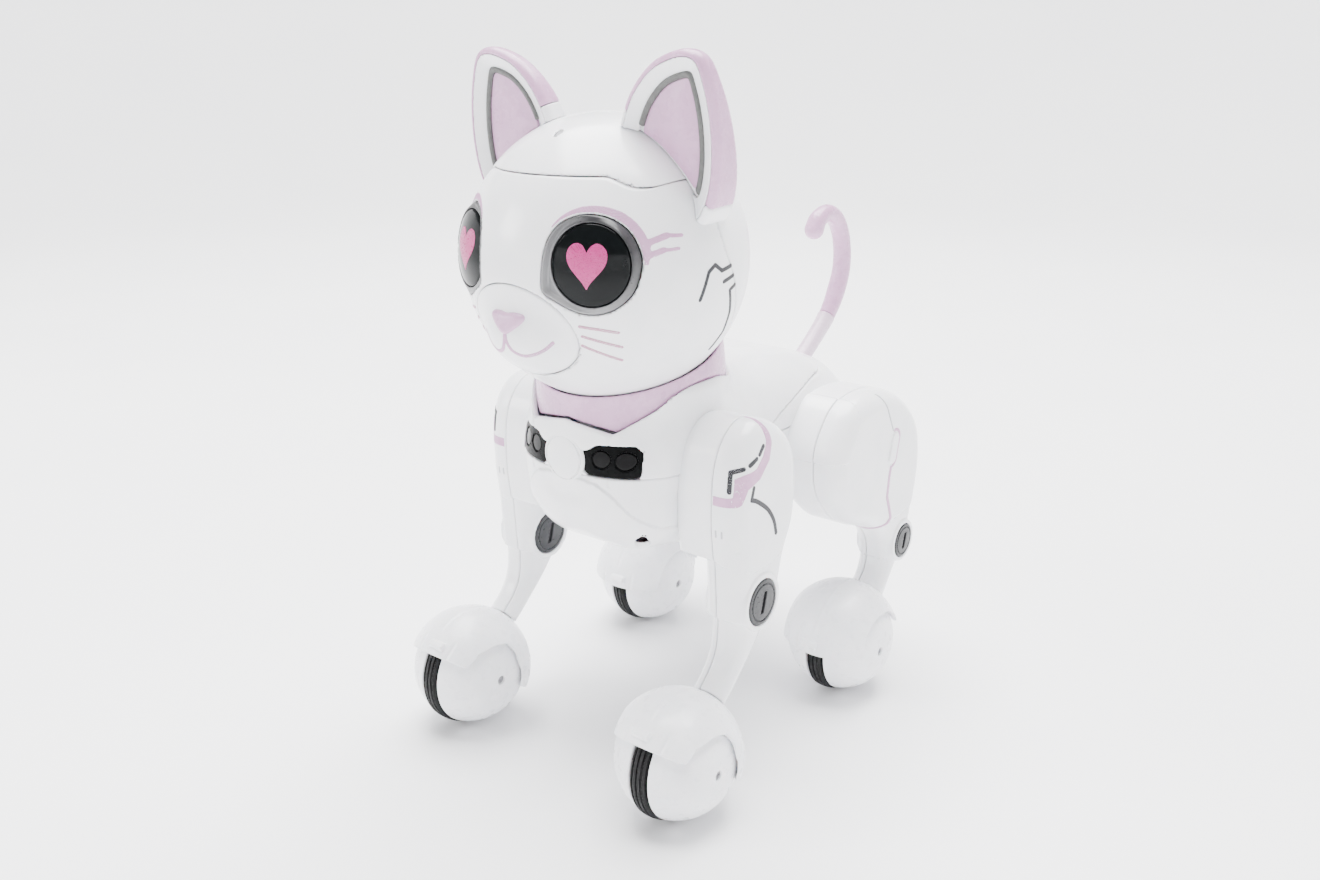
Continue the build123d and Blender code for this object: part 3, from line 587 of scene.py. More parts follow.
doorLow, doorHigh = nodeBox("battery_door")
knobLow, knobHigh = nodeBox("power_switch")


def bellyCuts(p, d):
    q = np.abs(p - (doorLow + doorHigh) / 2) - (doorHigh - doorLow) / 2 - 0.25
    d = cut(d, np.maximum(np.maximum(q[..., 0], q[..., 1]), p[..., 2] - torsoMid), 0.5)
    slot = np.maximum(np.abs(p[..., 0]) - 2.3, np.abs(p[..., 1] + 16.5) - 4.3)
    d = cut(d, np.maximum(slot, p[..., 2] - torsoMid), 0.4)
    return cut(d, np.maximum(underHoles(p), p[..., 2] - torsoMid), 0.5)


def bellyField(p):
    d = both(torsoWall(p), p[..., 2] - seamHeight + torso["gap"] / 2, torso["edge"])
    d = both(d, p[..., 1] - torso["bellyEnd"] + torso["gap"] / 2, torso["edge"])
    return cut(bellyCuts(p, d), windowCut(p, 0.25), 0.5)


def rumpField(p):
    d = both(torsoWall(p), rumpLine(p) + torso["gap"] / 2, torso["edge"])
    upper = seamHeight + torso["gap"] / 2 - p[..., 2]
    rear = torso["bellyEnd"] + torso["gap"] / 2 - p[..., 1]
    return bellyCuts(p, both(d, np.minimum(upper, rear), torso["edge"]))


for node, field, low, high in (
        ("back_shell", backField, (-45, chestY - 1, 130), (45, rearY, 174)),
        ("belly_shell", bellyField, (-44, chestY - 1, 88), (44, 60, 150)),
        ("rump_shell", rumpField, (-43, 14, 88), (43, rearY, 156))):
    shape(node + "_skin", field, low, high, torso["cell"], whiteAbs, "torso", "white_shell", node)
print("torso made")


# the smoked window behind the chest opening, with its four round filters
def windowField(p):
    d = torsoSkin(p) + 0.7
    return both(np.maximum(d, -d - 2.0), windowCut(p, 0.0), 0.4)


def filterSpots():
    places = []
    for side in (1, -1):
        for x, z in ((17.5, 142.2), (26.5, 142.0)):
            places.append((side * x, z))
    return places


shape("chest_window", lambda p: np.maximum(windowField(p), -np.min(
    [np.maximum(np.hypot(p[..., 0] - x, p[..., 2] - z) - 3.9, -torsoSkin(p) - 1.3)
     for x, z in filterSpots()], axis=0)), (-33, chestY - 1, 134), (33, -30, 149), 0.5, windowPc,
      "torso", "dark_window", "sensor_window")
for number, (x, z) in enumerate(filterSpots()):
    def filterField(p):
        d = torsoSkin(p) + 0.95
        around = np.hypot(p[..., 0] - x, p[..., 2] - z) - 3.55
        return both(np.maximum(d, -d - 1.0), np.maximum(around, p[..., 1] + 30), 0.5)
    shape("chest_filter_%d" % number, filterField, (x - 5, chestY - 1, z - 5), (x + 5, -30, z + 5),
          0.32, sensorGlass, "torso", "dark_window")

badgeLow, badgeHigh = nodeBox("badge")
badgeMid = (badgeLow + badgeHigh) / 2
badgeRadius = (badgeHigh[0] - badgeLow[0]) / 2


def badgeField(p):
    # a blank domed button with a stepped rim
    r = np.hypot(p[..., 0], p[..., 2] - badgeMid[2])
    dome = badgeHigh[1] - (badgeHigh[1] - badgeLow[1]) * (1 - 0.45 * (r / badgeRadius) ** 2) - p[..., 1]
    d = both(dome, r - badgeRadius, 1.2)
    d = np.maximum(d, -np.maximum(np.abs(r - badgeRadius * 0.84) - 0.3, -d - 0.35))
    return both(d, p[..., 1] - badgeHigh[1], 0.4)


shape("chest_badge", badgeField, badgeLow - 1, badgeHigh + 1, 0.42, whiteAbs, "torso",
      "white_shell", "badge")


# ------ collar: a lavender band that follows the underside of the head
def headSkin(p):
    return egg(p, headCentre, np.array([1.0, 58 / 57, 1.0]) * headRadius)


def collarField(p):
    across = np.hypot(p[..., 0], p[..., 1] - collarY) - collarRadius - 0.5
    lean = (p[..., 2] - 168) * 0.10
    d = both(np.abs(across + 1.5 + np.maximum(lean, 0)) - 1.5, collarCut(p, 0.0), 0.8)
    d = both(d, p[..., 2] - 184, 1.0)
    return both(d, 0.7 - headSkin(p), 0.8)


shape("collar_band", collarField, (-42, collarY - 42, 148), (42, collarY + 42, 186), 0.75,
      lavenderAbs, "torso", "lavender_shell", "collar")


# the deck inside the collar that the neck turns on
def deckField(p):
    d = discField(p, np.array([0, collarY, 148.4]), 2, collarRadius - 3.2, 1.4, 0.5)
    return np.maximum(d, -(np.hypot(p[..., 0], p[..., 1] - headCentre[1]) - 15.6))


shape("neck_deck", deckField, (-38, collarY - 38, 146), (38, collarY + 38, 151), 0.9, satinAbs,
      "torso", "white_shell")


def doorField(p):
    d = both(torsoWall(p), np.maximum(np.abs(p[..., 0]) - (doorHigh[0] - doorLow[0]) / 2,
                                      np.abs(p[..., 1] - (doorLow[1] + doorHigh[1]) / 2)
                                      - (doorHigh[1] - doorLow[1]) / 2), 0.6)
    d = both(d, p[..., 2] - doorHigh[2] - 1, 0.4)
    for step in range(3):
        y = doorHigh[1] - 7 - 2.2 * step
        grip = np.maximum(np.abs(p[..., 1] - y) - 0.5, np.abs(p[..., 0]) - 8)
        d = np.maximum(d, -np.maximum(grip, -torsoSkin(p) - 0.6))
    return d


shape("battery_door_skin", doorField, doorLow - 1, doorHigh + 1, 0.8, satinAbs, "torso",
      "white_shell", "battery_door")


def knobField(p):
    middle = (knobLow + knobHigh) / 2
    half = (knobHigh - knobLow) / 2
    plate = blockField(p, (middle[0], middle[1], knobHigh[2] - 0.8), (half[0], half[1], 0.8), 0.3)
    stem = blockField(p, middle, (2.0, 2.5, half[2]), 0.4)
    d = np.minimum(plate, stem)
    for y in (-1.2, 0, 1.2):
        rib = np.maximum(np.abs(p[..., 1] - middle[1] - y) - 0.25, p[..., 2] - knobLow[2] - 0.4)
        d = np.maximum(d, -rib)
    return d


shape("switch_knob", knobField, knobLow - 1, knobHigh + 1, 0.3, knobAbs, "switch", "black_knob",
      "power_switch")
print("fittings made")


# ------ head
head = {
    "wall": 2.4, "gap": 0.34, "edge": 0.7, "cell": 0.95,
    "muzzleCentre": (0, 0, -20.6), "muzzleOval": (24.8, 18.4),
    "snoutCentre": (0, -32.0, -21.5), "snoutRadii": (24, 27.6, 19.5),
    "eyeTurn": 33.8, "eyeFace": 24.0, "eyeLift": 6.6, "eyeRadius": 15.1,
    "eyeDepth": 14, "neckHole": 15.4,
}
snoutAt = headCentre + np.array(head["snoutCentre"])
muzzleAt = headCentre + np.array(head["muzzleCentre"])


def faceSkin(p):
    return join(headSkin(p), egg(p, snoutAt, np.array(head["snoutRadii"])), 5.0)


def eyeFrame(side):
    turn, lift = math.radians(head["eyeFace"]), math.radians(head["eyeLift"])
    out = np.array([side * math.sin(turn) * math.cos(lift), -math.cos(turn) * math.cos(lift),
                    math.sin(lift)])
    across = np.array([side * math.cos(turn), math.sin(turn), 0.0])
    return across, np.cross(across, out) * -side, out


def eyeSpot(side):
    turn, lift = math.radians(head["eyeTurn"]), math.radians(head["eyeLift"])
    return headCentre + headRadius * np.array(
        [side * math.sin(turn) * math.cos(lift), -math.cos(turn) * math.cos(lift),
         math.sin(lift)])


# the eye surround seen square on: outward and upward from the middle of the eye
bezelOutline = outlineField(
    [(17.7, 0), (16.6, 6.2), (13.2, 11.9), (8.2, 15.8), (2.0, 17.7), (-5.0, 17.4), (-11.2, 14.6),
     (-15.3, 9.6), (-17.1, 3.6), (-17.9, -3.0), (-18.0, -8.6), (-16.6, -11.2), (-12.6, -13.4),
     (-7.4, -16.1), (-1.4, -17.7), (5.2, -17.0), (11.2, -13.7), (15.6, -8.3)], blur=3)


def eyePlace(p, side):
    across, up, out = eyeFrame(side)
    q = p - eyeSpot(side)
    return q @ across, q @ up, q @ out


def eyeSkin(p, side):
    # the dome of the eye, which stands out of the head on its outer side
    out = eyeFrame(side)[2]
    return ball(p, eyeSpot(side) - 49.6 * out, 50.0)


def bezelCut(p, grow):
    places = [eyePlace(p, side) for side in (1, -1)]
    return nearest(np.maximum(bezelOutline(a, b) - grow, -head["eyeDepth"] - deep) for a, b, deep in places)


def ovalField(p):
    x = p[..., 0] / head["muzzleOval"][0]
    z = (p[..., 2] - muzzleAt[2]) / head["muzzleOval"][1]
    k0 = np.hypot(x, z)
    k1 = np.hypot(x / head["muzzleOval"][0], z / head["muzzleOval"][1])
    return k0 * (k0 - 1) / np.maximum(k1, 1e-9)


def crownLine(p):
    # the forehead seam: level, with a small step down towards each ear
    x = np.abs(p[..., 0])
    step = 36.4 - 4.0 * smoothStep((x - 27) / 12) + 2.0 * smoothStep((x - 40) / 5)
    return p[..., 2] - headCentre[2] - step


backAt, backCols = smoothTable([(-60, 16), (-24, 16), (-17, 15), (-9, 11), (-4, 9), (6, 3), (12, 1),
                                (18, 0), (60, 0)], -60, 60, 4)


def backLine(p):
    # the seam behind the cheeks: it steps forward above the ears of the collar
    return p[..., 1] - headCentre[1] - np.interp(p[..., 2] - headCentre[2], backAt, backCols[0])


def neckHole(p):
    return np.maximum(np.hypot(p[..., 0], p[..., 1] - headCentre[1]) - head["neckHole"],
                      p[..., 2] - headCentre[2])


faceWall = shellOf(faceSkin, head["wall"])
headWall = shellOf(headSkin, head["wall"])
half = head["gap"] / 2


def faceField(p):
    d = both(faceWall(p), backLine(p) + half, head["edge"])
    d = both(d, crownLine(p) + half, head["edge"])
    oval = np.maximum(ovalField(p) - half, p[..., 1] - headCentre[1] + 20)
    d = cut(d, oval, head["edge"])
    d = cut(d, bezelCut(p, 0.3), 0.6)
    return cut(d, neckHole(p), 0.5)


def occiputField(p):
    d = both(headWall(p), half - backLine(p), head["edge"])
    d = both(d, crownLine(p) + half, head["edge"])
    return cut(d, neckHole(p), 0.5)


def foreheadSlot(p, radius):
    return rod(p, headCentre + np.array([0, -26.5, 49.5]), headCentre + np.array([0, -32.5, 42]),
               radius)


def crownField(p):
    d = both(headWall(p), half - crownLine(p), head["edge"])
    d = cut(d, foreheadSlot(p, 1.7), 0.5)
    vent = rod(p, headCentre + np.array([-4, -3, 57]), headCentre + np.array([4, -3, 57]), 1.0)
    return cut(d, vent, 0.4)


headFloor = headCentre[2] - 59
shape("face_shell_skin", faceField, (-58, -96, headFloor), (58, -10, 258), head["cell"], whiteAbs,
      "head", "white_shell", "face_shell")
shape("head_back_skin", occiputField, (-58, -36, headFloor), (58, 25, 258), head["cell"], whiteAbs,
      "head", "white_shell", "head_back_shell")
shape("crown_skin", crownField, (-48, -80, 248), (48, 12, 276), head["cell"], whiteAbs, "head",
      "white_shell", "crown_cap")


def slotPad(p):
    # a soft touch pad at the bottom of the forehead slot
    return both(foreheadSlot(p, 1.55), headSkin(p) + 0.45, 0.3)


shape("forehead_touch_pad", slotPad, (-3, -71, 257), (3, -58, 270), 0.28, plugAbs, "head",
      "grey_bezel")


def muzzleField(p):
    front = p[..., 1] - headCentre[1] + 20
    return both(faceWall(p), np.maximum(ovalField(p) + half, front), head["edge"])


shape("muzzle_skin", muzzleField, (-26, -96, 176), (26, -60, 218), 0.6, whiteAbs, "head",
      "white_shell", "muzzle")

noseOutline = outlineField([(-7.4, 2.6), (-3.6, 3.1), (0, 2.7), (3.6, 3.1), (7.4, 2.6),
                            (8.3, 1.0), (6.6, -1.3), (2.2, -4.6), (0, -5.4), (-2.2, -4.6),
                            (-6.6, -1.3), (-8.3, 1.0)], pitch=0.2, blur=3)
noseZ = nodeBox("nose")[1][2] - 3.4


def noseField(p):
    flat = noseOutline(p[..., 0], p[..., 2] - noseZ)
    d = both(faceSkin(p) - 1.5, flat, 2.2)
    return np.maximum(both(d, -faceSkin(p) - 0.9, 0.4), p[..., 1] + 80)


shape("nose_button", noseField, (-10, -98, noseZ - 7), (10, -82, noseZ + 5), 0.32, lavenderAbs,
      "head", "lavender_shell", "nose")
print("head made")


# ------ eyes
turns = np.arange(36) * 2 * math.pi / 36
heartOutline = outlineField(
    np.stack([0.486 * 16 * np.sin(turns) ** 3,
              0.6 * (13 * np.cos(turns) - 5 * np.cos(2 * turns) - 2 * np.cos(3 * turns)
                     - np.cos(4 * turns)) + 1.4], -1), pitch=0.2, blur=2)


for side, sideName in ((1, "left"), (-1, "right")):
    across, up, out = eyeFrame(side)
    eyeMid = eyeSpot(side)
    eyeReach = np.full(3, 22.0)

    def bezelField(p):
        a, b, deep = eyePlace(p, side)
        around = np.hypot(a, b)
        blend = smoothStep(-bezelOutline(a, b) / 2.2)
        top = headSkin(p) * (1 - blend) + (eyeSkin(p, side) - 0.3) * blend - 0.25
        d = both(top, bezelOutline(a, b), 0.8)
        d = both(d, head["eyeRadius"] + 0.12 - around, 0.5)
        return both(np.maximum(d, -eyeSkin(p, side) - 4.2), -head["eyeDepth"] - deep, 0.5)

    def lensSkin(p):
        a, b, deep = eyePlace(p, side)
        around = np.hypot(a, b)
        return eyeSkin(p, side) - 0.9 * (1 - (around / 18.0) ** 2)

    def lensField(p):
        a, b, deep = eyePlace(p, side)
        d = both(lensSkin(p), np.hypot(a, b) - head["eyeRadius"] + 0.05, 0.9)
        return both(np.maximum(d, -eyeSkin(p, side) - 3.0), -head["eyeDepth"] - deep, 0.5)

    def heartFilm(p):
        a, b, deep = eyePlace(p, side)
        d = both(np.abs(lensSkin(p) + 0.06) - 0.18, heartOutline(a + 0.9, b + 0.6), 0.15)
        return np.maximum(d, -head["eyeDepth"] - deep)

    # painted shade: the bezel's colour fades to dark grey towards its top and outer side
    paintedShadeWay = across * 0.75 + up * 0.66
    bezelPaintedShade = paintedShadePlastic("grey_abs_bezel_painted_shade_" + sideName, "#8A8A8C", "#2C2C2E",
                              tuple(paintedShadeWay), float((eyeMid + workShift) @ paintedShadeWay) - 2, 24.0,
                              0.36)
    shape("eye_bezel_ring_" + sideName, bezelField, eyeMid - eyeReach, eyeMid + eyeReach, 0.5,
          bezelPaintedShade, "head", "grey_bezel", "eye_bezel_" + sideName)
    shape("eye_lens_dome_" + sideName, lensField, eyeMid - eyeReach, eyeMid + eyeReach, 0.55, lensPc,
          "head", "dark_window", "eye_lens_" + sideName)
    shape("eye_heart_print_" + sideName, heartFilm, eyeMid - eyeReach * 0.62, eyeMid + eyeReach * 0.62,
          0.28, heartInk, "head", "lavender_shell")
print("eyes made")


# ------ ears: a lavender rim and back, a white funnel, a grey bead and a lavender lining
ear = {
    "outline": [(15, 262), (18, 274), (24, 285), (33, 293.5), (43, 297.6), (51, 298.2),
                (56.5, 295), (60, 286), (62.2, 275), (62.8, 263), (61.6, 252), (58.6, 243),
                (53, 236), (45, 240), (36, 250), (26, 258)],
    "depthLow": 9.5, "depthHigh": 4.6, "rim": 2.7, "band": 7.6,
    "bead": 9.9, "slope": 0.62, "foot": 6.5, "cell": 0.55,
}
earOutline = outlineField(ear["outline"], pitch=0.5, blur=4)


def earParts(p, side):
    x, y, z = p[..., 0] * side, p[..., 1], p[..., 2]
    flat = earOutline(x, z)
    up = np.clip((z - 238) / 60, 0, 1.1)
    halfDepth = ear["depthLow"] * (1 - up) + ear["depthHigh"] * up
    centre = -36.5 - 9.0 * up
    along = y - centre
    return flat, along, halfDepth


def earBody(p, side):
    flat, along, halfDepth = earParts(p, side)
    return rounded(flat + 4.0, np.abs(along) - halfDepth + 4.0, 4.0)


def earFunnel(p, side):
    flat, along, halfDepth = earParts(p, side)
    inward = np.clip(-flat - ear["rim"], 0, ear["band"] - ear["rim"])
    floorAt = -halfDepth + 0.3 + ear["slope"] * inward
    return along - floorAt, flat


def earShell(p, side):
    d = earBody(p, side)
    level, flat = earFunnel(p, side)
    d = cut(d, np.maximum(level - 1.6, flat + ear["rim"]), 0.8)
    return cut(d, headSkin(p) - 0.3, 0.6)


def earBaseLine(p):
    return headSkin(p) - ear["foot"]


for side, sideName in ((1, "left"), (-1, "right")):
    low = (min(side * 12, side * 66), -62, 232)
    high = (max(side * 12, side * 66), -20, 302)

    def rimField(p):
        return both(earShell(p, side), 0.15 - earBaseLine(p), 0.6)

    def footField(p):
        return both(earShell(p, side), earBaseLine(p) + 0.15, 0.8)

    def bandField(p):
        level, flat = earFunnel(p, side)
        d = both(np.abs(level - 0.75) - 0.75, flat + ear["rim"] + 0.12, 0.5)
        d = both(d, -flat - ear["band"] - 0.4, 0.3)
        return cut(d, headSkin(p) - 0.3, 0.5)

    def beadField(p):
        level, flat = earFunnel(p, side)
        ring = np.hypot(flat + (ear["band"] + ear["bead"]) / 2, (level - 0.6) * 0.9)
        d = ring - (ear["bead"] - ear["band"]) / 2 - 0.12
        return cut(d, headSkin(p) - 3.2, 0.6)

    def liningField(p):
        level, flat = earFunnel(p, side)
        puff = 1.1 * smoothStep((-flat - ear["bead"]) / 8)
        d = both(np.abs(level - 1.4 + puff) - 1.0, flat + ear["bead"] - 0.1, 0.6)
        return cut(d, headSkin(p) - 0.3, 0.5)

    shape("ear_rim_" + sideName, rimField, low, high, ear["cell"], lavenderAbs, "head",
          "lavender_shell", "ear_" + sideName)
    shape("ear_foot_" + sideName, footField, low, (high[0], high[1], 288), ear["cell"], whiteAbs,
          "head", "white_shell")
    shape("ear_funnel_" + sideName, bandField, low, high, 0.5, whiteAbs, "head", "white_shell")
    shape("ear_bead_" + sideName, beadField, low, high, 0.42, earGrey, "head", "grey_bezel")
    shape("ear_lining_" + sideName, liningField, low, high, 0.5, lavenderAbs, "head",
          "lavender_shell", "ear_insert_" + sideName)
print("ears made")


# ------ tail
tailLine = smoothLine([(0, -6, -4), (0, 6, 4.2), (0, 18, 13.5), (0, 27, 24), (0, 33.4, 39),
                       (0, 32, 54), (0, 25.5, 65), (0, 16, 69.5), (0, 7.5, 67.2), (0, 4, 62.5)], 5)
tailLine = tailLine + np.array([0, 122, 147])


def taperField(p, line, radii):
    d = None
    for start, end, r0, r1 in zip(line[:-1], line[1:], radii[:-1], radii[1:]):
        way = end - start
        t = np.clip(((p - start) @ way) / (way @ way), 0, 1)
        one = span(p - start - t[..., None] * way) - (r0 + (r1 - r0) * t)
        d = one if d is None else np.minimum(d, one)
    return d


tailRadii = np.interp(np.arange(len(tailLine)), [0, 8, 16, 36, len(tailLine) - 1],
                      [3.9, 4.0, 4.8, 4.4, 4.9])
tailSplit = tailLine[11]
tailWay = tailLine[12] - tailLine[10]
tailWay = tailWay / span(tailWay)


def tailUpper(p):
    return both(taperField(p, tailLine, tailRadii), 0.12 - (p - tailSplit) @ tailWay, 0.8)


def tailLower(p):
    return both(taperField(p, tailLine, tailRadii + 0.35), (p - tailSplit) @ tailWay + 0.12, 0.8)


shape("tail_soft_cover", tailUpper, (-6, 118, 140), (6, 162, 224), 0.6, lavenderAbs, "tail",
      "lavender_shell", "tail")
shape("tail_neck", tailLower, (-6, 112, 138), (6, 150, 168), 0.5, paleAbs, "tail",
      "lavender_shell")
print("tail made")


# ------ legs, seen from the side as points (along, up) from the middle of the wheels
footX = wheels["front_left"][0]
outerX = joinBoxes("front_left_leg_outer", "front_left_leg_inner")[1][0]
seamX = nodeBox("front_left_leg_outer")[0][0]
innerX = nodeBox("front_left_leg_inner")[0][0] + 6.0
shinX = outerX - 2 * (outerX - footX)
leg = {
    "front": [(-20, 158), (-4, 152), (6, 138), (7, 112), (0, 95), (-6, 75), (-16, 60), (-28, 48),
              (-42, 36), (-54, 30), (-60, 38), (-49, 47), (-37, 62), (-37.5, 95), (-40, 117),
              (-39, 140), (-32, 153)],
    "rear": [(70, 148), (88, 146), (106, 137), (119, 123), (123, 103), (119, 79), (113, 61),
             (105, 50), (94, 36), (81, 25), (70, 31), (73, 43), (88, 49), (92, 60), (87, 72),
             (74, 81), (58, 88), (41, 106), (38, 125), (46, 139), (56, 146)],
    "elbow": (-20.5, 80), "elbowRadius": 10.0, "knee": (106, 65), "kneeRadius": 8.4,
    "cuff": 95.0, "shinTop": 71.0, "kneeCuff": 76.0, "cell": 0.8, "gap": 0.3, "wall": 3.0,
    "coverRadius": 27.95,
}
frontOutline = outlineField(leg["front"], pitch=0.6, blur=6)
rearOutline = outlineField(leg["rear"], pitch=0.6, blur=6)


def slab(flat, along, middle, halfWidth, edge):
    return rounded(flat + edge, np.abs(along - middle) - halfWidth + edge, edge)


def capBoss(p, place, radius, x, thick):
    around = np.hypot(p[..., 1] - place[0], p[..., 2] - place[1]) - radius
    return both(around, np.abs(p[..., 0] - x) - thick, 0.8)


def frontLegSkin(p):
    # p is on the left side; the sleeve stands proud of the cuff and the cuff of the shin
    x, y, z = p[..., 0], p[..., 1], p[..., 2]
    flat = frontOutline(y, z)
    middle = (innerX + outerX) / 2
    halfWidth = (outerX - innerX) / 2
    vee = leg["cuff"] + 0.42 * np.maximum(-27 - y, 0) + 0.30 * np.maximum(y + 15, 0)
    vee = vee + 1.6 * np.clip((footX + 1 - x) / 4, 0, 1)
    sleeve = both(slab(flat, x, middle, halfWidth, 9.5), vee - z, 0.7)
    cuffHalf = (outerX - shinX) / 2
    cuff = both(slab(flat + 0.9, x, footX - 0.3, cuffHalf - 0.4, 6.5), z - leg["cuff"] - 12, 1.0)
    cuff = both(cuff, leg["shinTop"] - 2.0 - 0.35 * (y + 20) - z, 0.9)
    shin = slab(flat + 1.9, x, footX, cuffHalf - 1.1, 7.5)
    d = join(np.minimum(sleeve, np.minimum(cuff, np.maximum(shin, z - leg["cuff"]))), 1e3 + z, 0.1)
    for side, face in ((1, outerX), (-1, shinX)):
        d = join(d, capBoss(p, leg["elbow"], leg["elbowRadius"] + 2.6, face - side * 2.0, 2.3), 0.9)
    return d


def tabField(y, z):
    # the pill-shaped tab behind the thigh
    t = np.clip((z - 113.5) / 8.5, 0, 1)
    return np.hypot(y - 88.3 - 2.0 * t, z - 113.5 - 8.5 * t) - 3.3


def rearLegSkin(p):
    x, y, z = p[..., 0], p[..., 1], p[..., 2]
    flat = rearOutline(y, z)
    middle = (innerX + outerX) / 2
    halfWidth = (outerX - innerX) / 2
    hem = leg["kneeCuff"] + 0.14 * (y - 70)
    panel = both(slab(flat, x, middle, halfWidth, 9.0), hem - z, 0.8)
    thigh = both(slab(flat + 0.8, x, footX - 0.3, (outerX - shinX) / 2 - 0.5, 7.0), z - hem - 8, 1.0)
    shin = slab(flat + 1.3, x, footX, (outerX - shinX) / 2 - 0.9, 7.0)
    ledge = np.maximum(122 - z, y - 50 - 0.32 * (z - 122))
    panel = np.minimum(panel, both(panel - 0.8, ledge, 0.8))
    tab = tabField(y, z)
    panel = np.minimum(panel, both(panel - 0.9, np.maximum(tab, footX - x), 0.9))
    d = np.minimum(panel, np.minimum(np.maximum(thigh, 58 - z), np.maximum(shin, z - 88)))
    for side, face in ((1, outerX), (-1, shinX)):
        d = join(d, capBoss(p, leg["knee"], leg["kneeRadius"] + 2.2, face - side * 2.0, 2.2), 0.9)
    return d


def legShellField(skin, axle, place, radius, outer):
    def field(p):
        q = leftSide(p)
        d = skin(q)
        d = np.maximum(d, -d - leg["wall"])
        for side, face in ((1, outerX), (-1, shinX)):
            pocket = capBoss(q, place, radius + 0.25, face - side * 0.6, 2.4)
            d = cut(d, pocket, 0.4)
        d = cut(d, ball(q, axle, leg["coverRadius"] + leg["gap"] + 0.2), 0.8)
        sideways = (seamX + leg["gap"] / 2 - q[..., 0]) if outer else (q[..., 0] - seamX
                                                                     + leg["gap"] / 2)
        return both(d, sideways, 0.7)
    return field


def capField(place, radius, side):
    def field(p):
        q = leftSide(p)
        face = outerX if side > 0 else shinX
        around = np.hypot(q[..., 1] - place[0], q[..., 2] - place[1])
        lift = 0.5 * (1 - (around / radius) ** 2)
        d = both(around - radius, np.abs(q[..., 0] - face + side * 1.2) - 1.6 - lift, 0.7)
        slot = np.maximum(np.abs(q[..., 1] - place[0] - 0.25 * (q[..., 2] - place[1])) - 1.1,
                          np.abs(q[..., 2] - place[1]) - radius * 0.46)
        slot = np.maximum(slot, side * (face - q[..., 0]) - 0.4)
        d = cut(d, slot, 0.25)
        ring = np.maximum(np.abs(around - radius * 0.8) - 0.3, side * (face - q[..., 0]) + 0.25)
        return cut(d, ring, 0.2)
    return field


for name in legNames:
    side = 1 if name.endswith("left") else -1
    front = name.startswith("front")
    skin = frontLegSkin if front else rearLegSkin
    axle = np.array([footX, wheels[name][1], wheels[name][2]])
    place, radius = ((leg["elbow"], leg["elbowRadius"]) if front
                     else (leg["knee"], leg["kneeRadius"]))
    points = np.array(leg["front"] if front else leg["rear"])
    lowY, lowZ = points.min(0) - 2
    highY, highZ = points.max(0) + 2
    for part, outer in (("outer", True), ("inner", False)):
        near, far = (seamX - 1, outerX + 1.5) if outer else (innerX - 1, seamX + 1)
        lowX, highX = sorted((side * near, side * far))
        shape("%s_leg_%s_shell" % (name, part), legShellField(skin, axle, place, radius, outer),
              (lowX, lowY, lowZ), (highX, highY, highZ), leg["cell"], whiteAbs,
              name + "_leg", "white_shell", "%s_leg_%s" % (name, part))
    for part, sign, face in (("outer", 1, outerX), ("inner", -1, shinX)):
        middle = np.array([side * face, place[0], place[1]])
        reach = np.array([4, radius + 1, radius + 1])
        nodes = [name + "_pivot_caps"] if sign > 0 else []
        shape("%s_cap_%s" % (name, part), capField(place, radius, sign), middle - reach,
              middle + reach, 0.4, capAbs, name + "_leg", "dark_cap", *nodes)
print("legs made")


# ------ feet: a ball in two halves round the tyre, and a cap over it
foot = {
    "radius": 25.3, "halfWidth": 24.0, "slot": 4.5, "coverInner": 25.7, "coverHalf": 24.6,
    "wheelGap": 26.45, "cell": 0.7, "plug": (-2.6, 1.4), "frontPitch": 0.0, "rearPitch": math.radians(32),
    "notch": [(-17.6, 11.6), (-11.4, 16.3), (-3, 18), (3.4, 16.6), (6.8, 11.4), (7.4, 2),
              (8.5, -40), (-60, -40), (-60, 11.6)],
}
notchOutline = outlineField(foot["notch"], pitch=0.5, blur=3, curved=False)


def footLocal(p, name):
    # sideways away from the toy, along and up, all from the axle, turned nose down at the rear
    side = 1 if name.endswith("left") else -1
    q = p - wheels[name]
    turn = foot["frontPitch"] if name.startswith("front") else foot["rearPitch"]
    y = q[..., 1] * math.cos(turn) + q[..., 2] * math.sin(turn)
    z = q[..., 2] * math.cos(turn) - q[..., 1] * math.sin(turn)
    return side * q[..., 0], y, z


def ballField(p, name, radius, halfWidth, edge):
    q = p - wheels[name]
    r = span(q)
    return both(r - radius, np.abs(q[..., 0]) - halfWidth + edge, 3.0 + edge)


def footHalf(p, name, outward):
    x, y, z = footLocal(p, name)
    d = ballField(p, name, foot["radius"], foot["halfWidth"], 0.5)
    d = both(d, foot["slot"] - outward * x, 0.9)
    around = np.hypot(y, z)
    d = np.maximum(d, -np.maximum(around - 2.6, np.abs(x) - 20.3))
    # the axle plug's seat
    plugY, plugZ = foot["plug"]
    seat = np.maximum(np.hypot(y - plugY, z - plugZ) - 1.9, 21.8 - outward * x)
    return cut(d, seat, 0.5)


def plugField(p, name, outward):
    x, y, z = footLocal(p, name)
    a, b = np.abs(y - foot["plug"][0]), np.abs(z - foot["plug"][1])
    d = both(np.hypot(a, b) - 1.75, np.abs(outward * x - 21.6) - 1.0, 0.4)
    slot = np.minimum(np.maximum(a - 0.28, b - 1.2), np.maximum(b - 0.28, a - 1.2))
    return np.maximum(d, -np.maximum(slot, 22.1 - outward * x))


